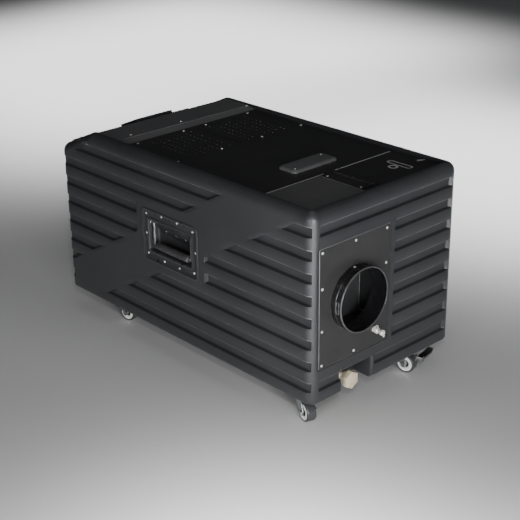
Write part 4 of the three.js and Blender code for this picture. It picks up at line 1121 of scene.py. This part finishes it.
def build_handle(hand, tag):
    """One recessed spring handle; hand is -1 on the left and 1 on the right."""
    low, high = local_box(f"handle_dish_{tag}")
    outer = max(abs(low.x), abs(high.x))
    build_dish(hand, tag, low, high, outer)
    build_bail(hand, tag)
    build_brow(hand, tag)
    y0, y1, z0, z1 = low.y, high.y, low.z, high.z
    middle = (z0 + z1) / 2 + 4
    face = hand * (outer - HANDLE_LIP)
    spots = [(y0 + 18, z1 - 15), (y0 + 76, z1 - 9), (y1 - 81, z1 - 9), (y1 - 20, z1 - 15), (y0 + 8.5, middle),
             (y1 - 18, middle), (y0 + 16, z0 + 20), (y0 + 72, z0 + 15), (y1 - 86, z0 + 15), (y1 - 22, z0 + 21)]
    placed = [(place(face, y, z), (hand, 0, 0), random.uniform(0, 1.5)) for y, z in spots]
    copies(f"handle_screws_{tag}", SMALL_HEAD, placed, "screw_zinc")
    small = [(place(face, y, z1 - 12), (hand, 0, 0), 0.0) for y in (y0 + 53, y0 + 108, y1 - 54)]
    copies(f"handle_rivets_{tag}", screw_head(2.6, 0.9, slot=False), small, "handle_metal")


build_handle(-1, "left")
build_handle(1, "right")


# ---- casters

WHEEL_RADIUS = 25
WHEEL_HALF = 12.5
HUB_RADIUS = 20


def build_caster(tag, brake):
    swivel = f"caster_swivel_{tag}"
    wheel = f"caster_wheel_{tag}"
    joint = JOINTS[f"wheel_{tag}"]
    centre, axle = Vector(joint["pos_m"]), Vector(joint["axis"])
    pivot = Vector(JOINTS[f"swivel_{tag}"]["pos_m"])
    polish(f"caster_plate_{tag}", "zinc_steel", width=0.6)
    low, high = local_box(f"caster_plate_{tag}")
    bolts = [(place(x, y, low.z + 4.6), (0, 0, -1), random.uniform(0, 1.5))
             for x in (low.x + 7, high.x - 7) for y in (low.y + 7, high.y - 7)]
    copies(f"caster_bolts_{tag}", screw_head(4.6, 2.4), bolts, "nickel")
    polish(f"caster_fork_{tag}", "zinc_steel", swivel, width=0.7, sharp=30)
    race = [(8, -2.4), (16.5, -2.4), (18.6, -1.2), (19, 0.6), (18.2, 2.2), (8, 2.2)]
    link(f"caster_race_{tag}", spun(race, pivot + Vector((0, 0, 0.0015)), (0, 0, 1), 40), "nickel", swivel)

    def both_sides(half):
        """A closed profile from half of it: (radius, distance in from the wheel's side face)."""
        half = [(radius, depth - WHEEL_HALF) for radius, depth in half]
        return half + [(radius, -along) for radius, along in reversed(half)] + [half[0]]

    hub = both_sides([(3.9, 3.4), (10.2, 3.4), (11.0, 3), (11.6, 1.2), (12.4, 0.5), (14, 0.3),
                      (HUB_RADIUS - 0.6, 0.2), (HUB_RADIUS, 0.8)])
    link(f"caster_hub_{tag}_disc", spun(hub, centre, axle, 64), "hub_white", wheel, nodes=(f"caster_hub_{tag}",))
    seal = both_sides([(4.2, 1.4), (9.4, 1.4), (10.2, 2.2), (10.2, 3.4)])
    link(f"caster_seal_{tag}", spun(seal, centre, axle, 40), "black_rubber", wheel)
    tyre = both_sides([(HUB_RADIUS + 0.3, 0.4), (WHEEL_RADIUS - 2.6, 0.2), (WHEEL_RADIUS - 1.2, 0.9),
                       (WHEEL_RADIUS - 0.3, 2.6), (WHEEL_RADIUS, 5)])
    link(f"caster_tyre_{tag}_ring", spun(tyre, centre, axle, 80), "tyre_grey", wheel,
         nodes=(f"caster_tyre_{tag}",))
    side = Vector((-axle.y, axle.x, 0))
    up = Vector((0, 0, 1))
    for sign in (-1, 1):
        nut = prism(hexagon(6.2, turn=12 * sign), 16.4, 21.2, 0.8,
                    lambda a, b, level: centre + (side * a + up * b + axle * level * sign) * MM)
        link(f"caster_nut_{tag}_{'ab'[sign > 0]}", nut, "nickel", swivel, sharp=30)
    if brake:
        build_pedal(tag)


def build_pedal(tag):
    """The tread ridges and the wire edge of one brake pedal."""
    body = f"brake_{tag}"
    polish(f"brake_pedal_{tag}", "black_rubber", body, width=0.5)
    joint = JOINTS[f"brake_{tag}_lift"]
    pivot, hinge = Vector(joint["pos_m"]), Vector(joint["axis"])
    out = Vector((-hinge.y, hinge.x, 0)).normalized()
    if out.x < 0:
        out = -out
    side = Vector((-out.y, out.x, 0))
    up = Vector((0, 0, 1))

    def at(along, across, rise):
        return pivot + (out * along + side * across + up * rise) * MM

    for k in range(5):
        ends = [at(36 + k * 4.2, across, 1.3) for across in (-7.4, 7.4)]
        tube(f"brake_tread_{tag}_{k + 1}", ends, 0.8, "black_rubber", body, resolution=2)
    edge = [(10, 1.0), (49, 0.6), (57.2, 5.8)]
    rim = [at(along, -8.6, rise) for along, rise in edge]
    rim += [at(along, 8.6, rise) for along, rise in reversed(edge)]
    tube(f"brake_edge_{tag}", rim, 0.75, "nickel", body, resolution=3)


for caster_tag, has_brake in (("front_left", False), ("front_right", True), ("rear_left", False),
                              ("rear_right", True)):
    build_caster(caster_tag, has_brake)


# ---- inside


def build_inside():
    looks = {
        "water_tank": "tank_plastic", "ultrasonic_module": "zinc_steel", "mist_fan_frame": "black_plastic",
        "heater_block": "alloy", "fog_pipe": "zinc_steel", "fluid_bottle": "hub_white", "pump": "alloy",
        "power_supply": "alloy", "control_board": "circuit",
    }
    for node, look in looks.items():
        polish(node, look, width=0.6 if node != "fluid_bottle" else 3)
    polish("level_float", "hub_white", "level_float", width=1.0)
    polish("mist_fan_rotor", "black_plastic", "mist_fan_rotor", width=0.4)
    polish("bottle_cap", "black_plastic", "bottle_cap", width=0.8)


build_inside()


# ---- stage


def build_floor():
    reach = 14
    corners = [(-reach, -reach, 0), (reach, -reach, 0), (reach, reach, 0), (-reach, reach, 0)]
    floor = mesh_of(corners, [(0, 1, 2, 3)])
    LOOK["floor"] = material("studio_floor", (0.86, 0.86, 0.86), (0.90, 0.90, 0.90), (0.55, 0.65), patch=0.8,
                             grain=120, bump=0.02)
    floor.materials.append(LOOK["floor"])
    shown("studio_floor", floor)


def softbox(name, spot, target, size, power, spread_angle=180):
    """A soft lamp at a spot that faces a target; metres and degrees."""
    lamp = bpy.data.lights.new(name, "AREA")
    lamp.spread = math.radians(spread_angle)
    lamp.shape = "RECTANGLE"
    lamp.size, lamp.size_y = size
    lamp.energy = power
    holder = shown(name, lamp)
    holder.location = spot
    holder.rotation_euler = (Vector(target) - Vector(spot)).to_track_quat("-Z", "Y").to_euler()


def build_light():
    """Soft lamps round the machine, and weak ones that light the floor under and beside it."""
    world = bpy.data.worlds.new("studio")
    world.use_nodes = True
    set_inputs(world.node_tree.nodes["Background"], Color=(0.5, 0.52, 0.55, 1), Strength=0.05)
    bpy.context.scene.world = world
    softbox("front_softbox", (-1.7, -3.3, 0.62), (0, -0.4, 0.15), (1.6, 0.9), 92)
    softbox("left_softbox", (-3.4, -1.5, 0.7), (0, -0.2, 0.2), (1.2, 0.9), 31)
    softbox("top_softbox", (0.0, -0.2, 3.4), (0, 0, 0.28), (2.0, 2.0), 7)
    for name, spot, size, power, spread_angle in (
        ("near", (-1.1, -1.9, 0.42), (1.8, 1.2), 33, 110), ("low", (-0.85, -0.95, 0.55), (0.5, 0.5), 8, 120),
        ("back", (1.7, 2.6, 1.25), (2.8, 2.4), 50, 75), ("right", (1.6, 0.45, 1.05), (1.5, 1.6), 18, 75),
    ):
        softbox(f"floor_softbox_{name}", spot, (spot[0], spot[1] + 0.001, 0), size, power, spread_angle)
    softbox("corner_softbox", (-1.9, -2.2, 1.9), (-0.22, -0.45, 0.5), (0.12, 0.12), 9.5)


def build_camera():
    """Stands off the front left corner, above the machine."""
    yaw, pitch, roll = (math.radians(v) for v in (42.8415, 23.6806, -0.7427))
    ahead = Vector((math.cos(pitch) * math.sin(yaw), math.cos(pitch) * math.cos(yaw), -math.sin(pitch)))
    right = Vector((math.cos(yaw), -math.sin(yaw), 0))
    up = right.cross(ahead)
    turned_right = right * math.cos(roll) + up * math.sin(roll)
    turned_up = up * math.cos(roll) - right * math.sin(roll)
    lens = bpy.data.cameras.new("camera")
    lens.lens = 81.78
    lens.sensor_width = 36
    lens.clip_end = 60
    holder = shown("camera", lens)
    frame_axes = Matrix((turned_right, turned_up, -ahead)).transposed().to_4x4()
    holder.matrix_world = Matrix.Translation((-1.92377, -2.09886, 1.46980)) @ frame_axes
    bpy.context.scene.camera = holder


build_floor()
build_light()
build_camera()
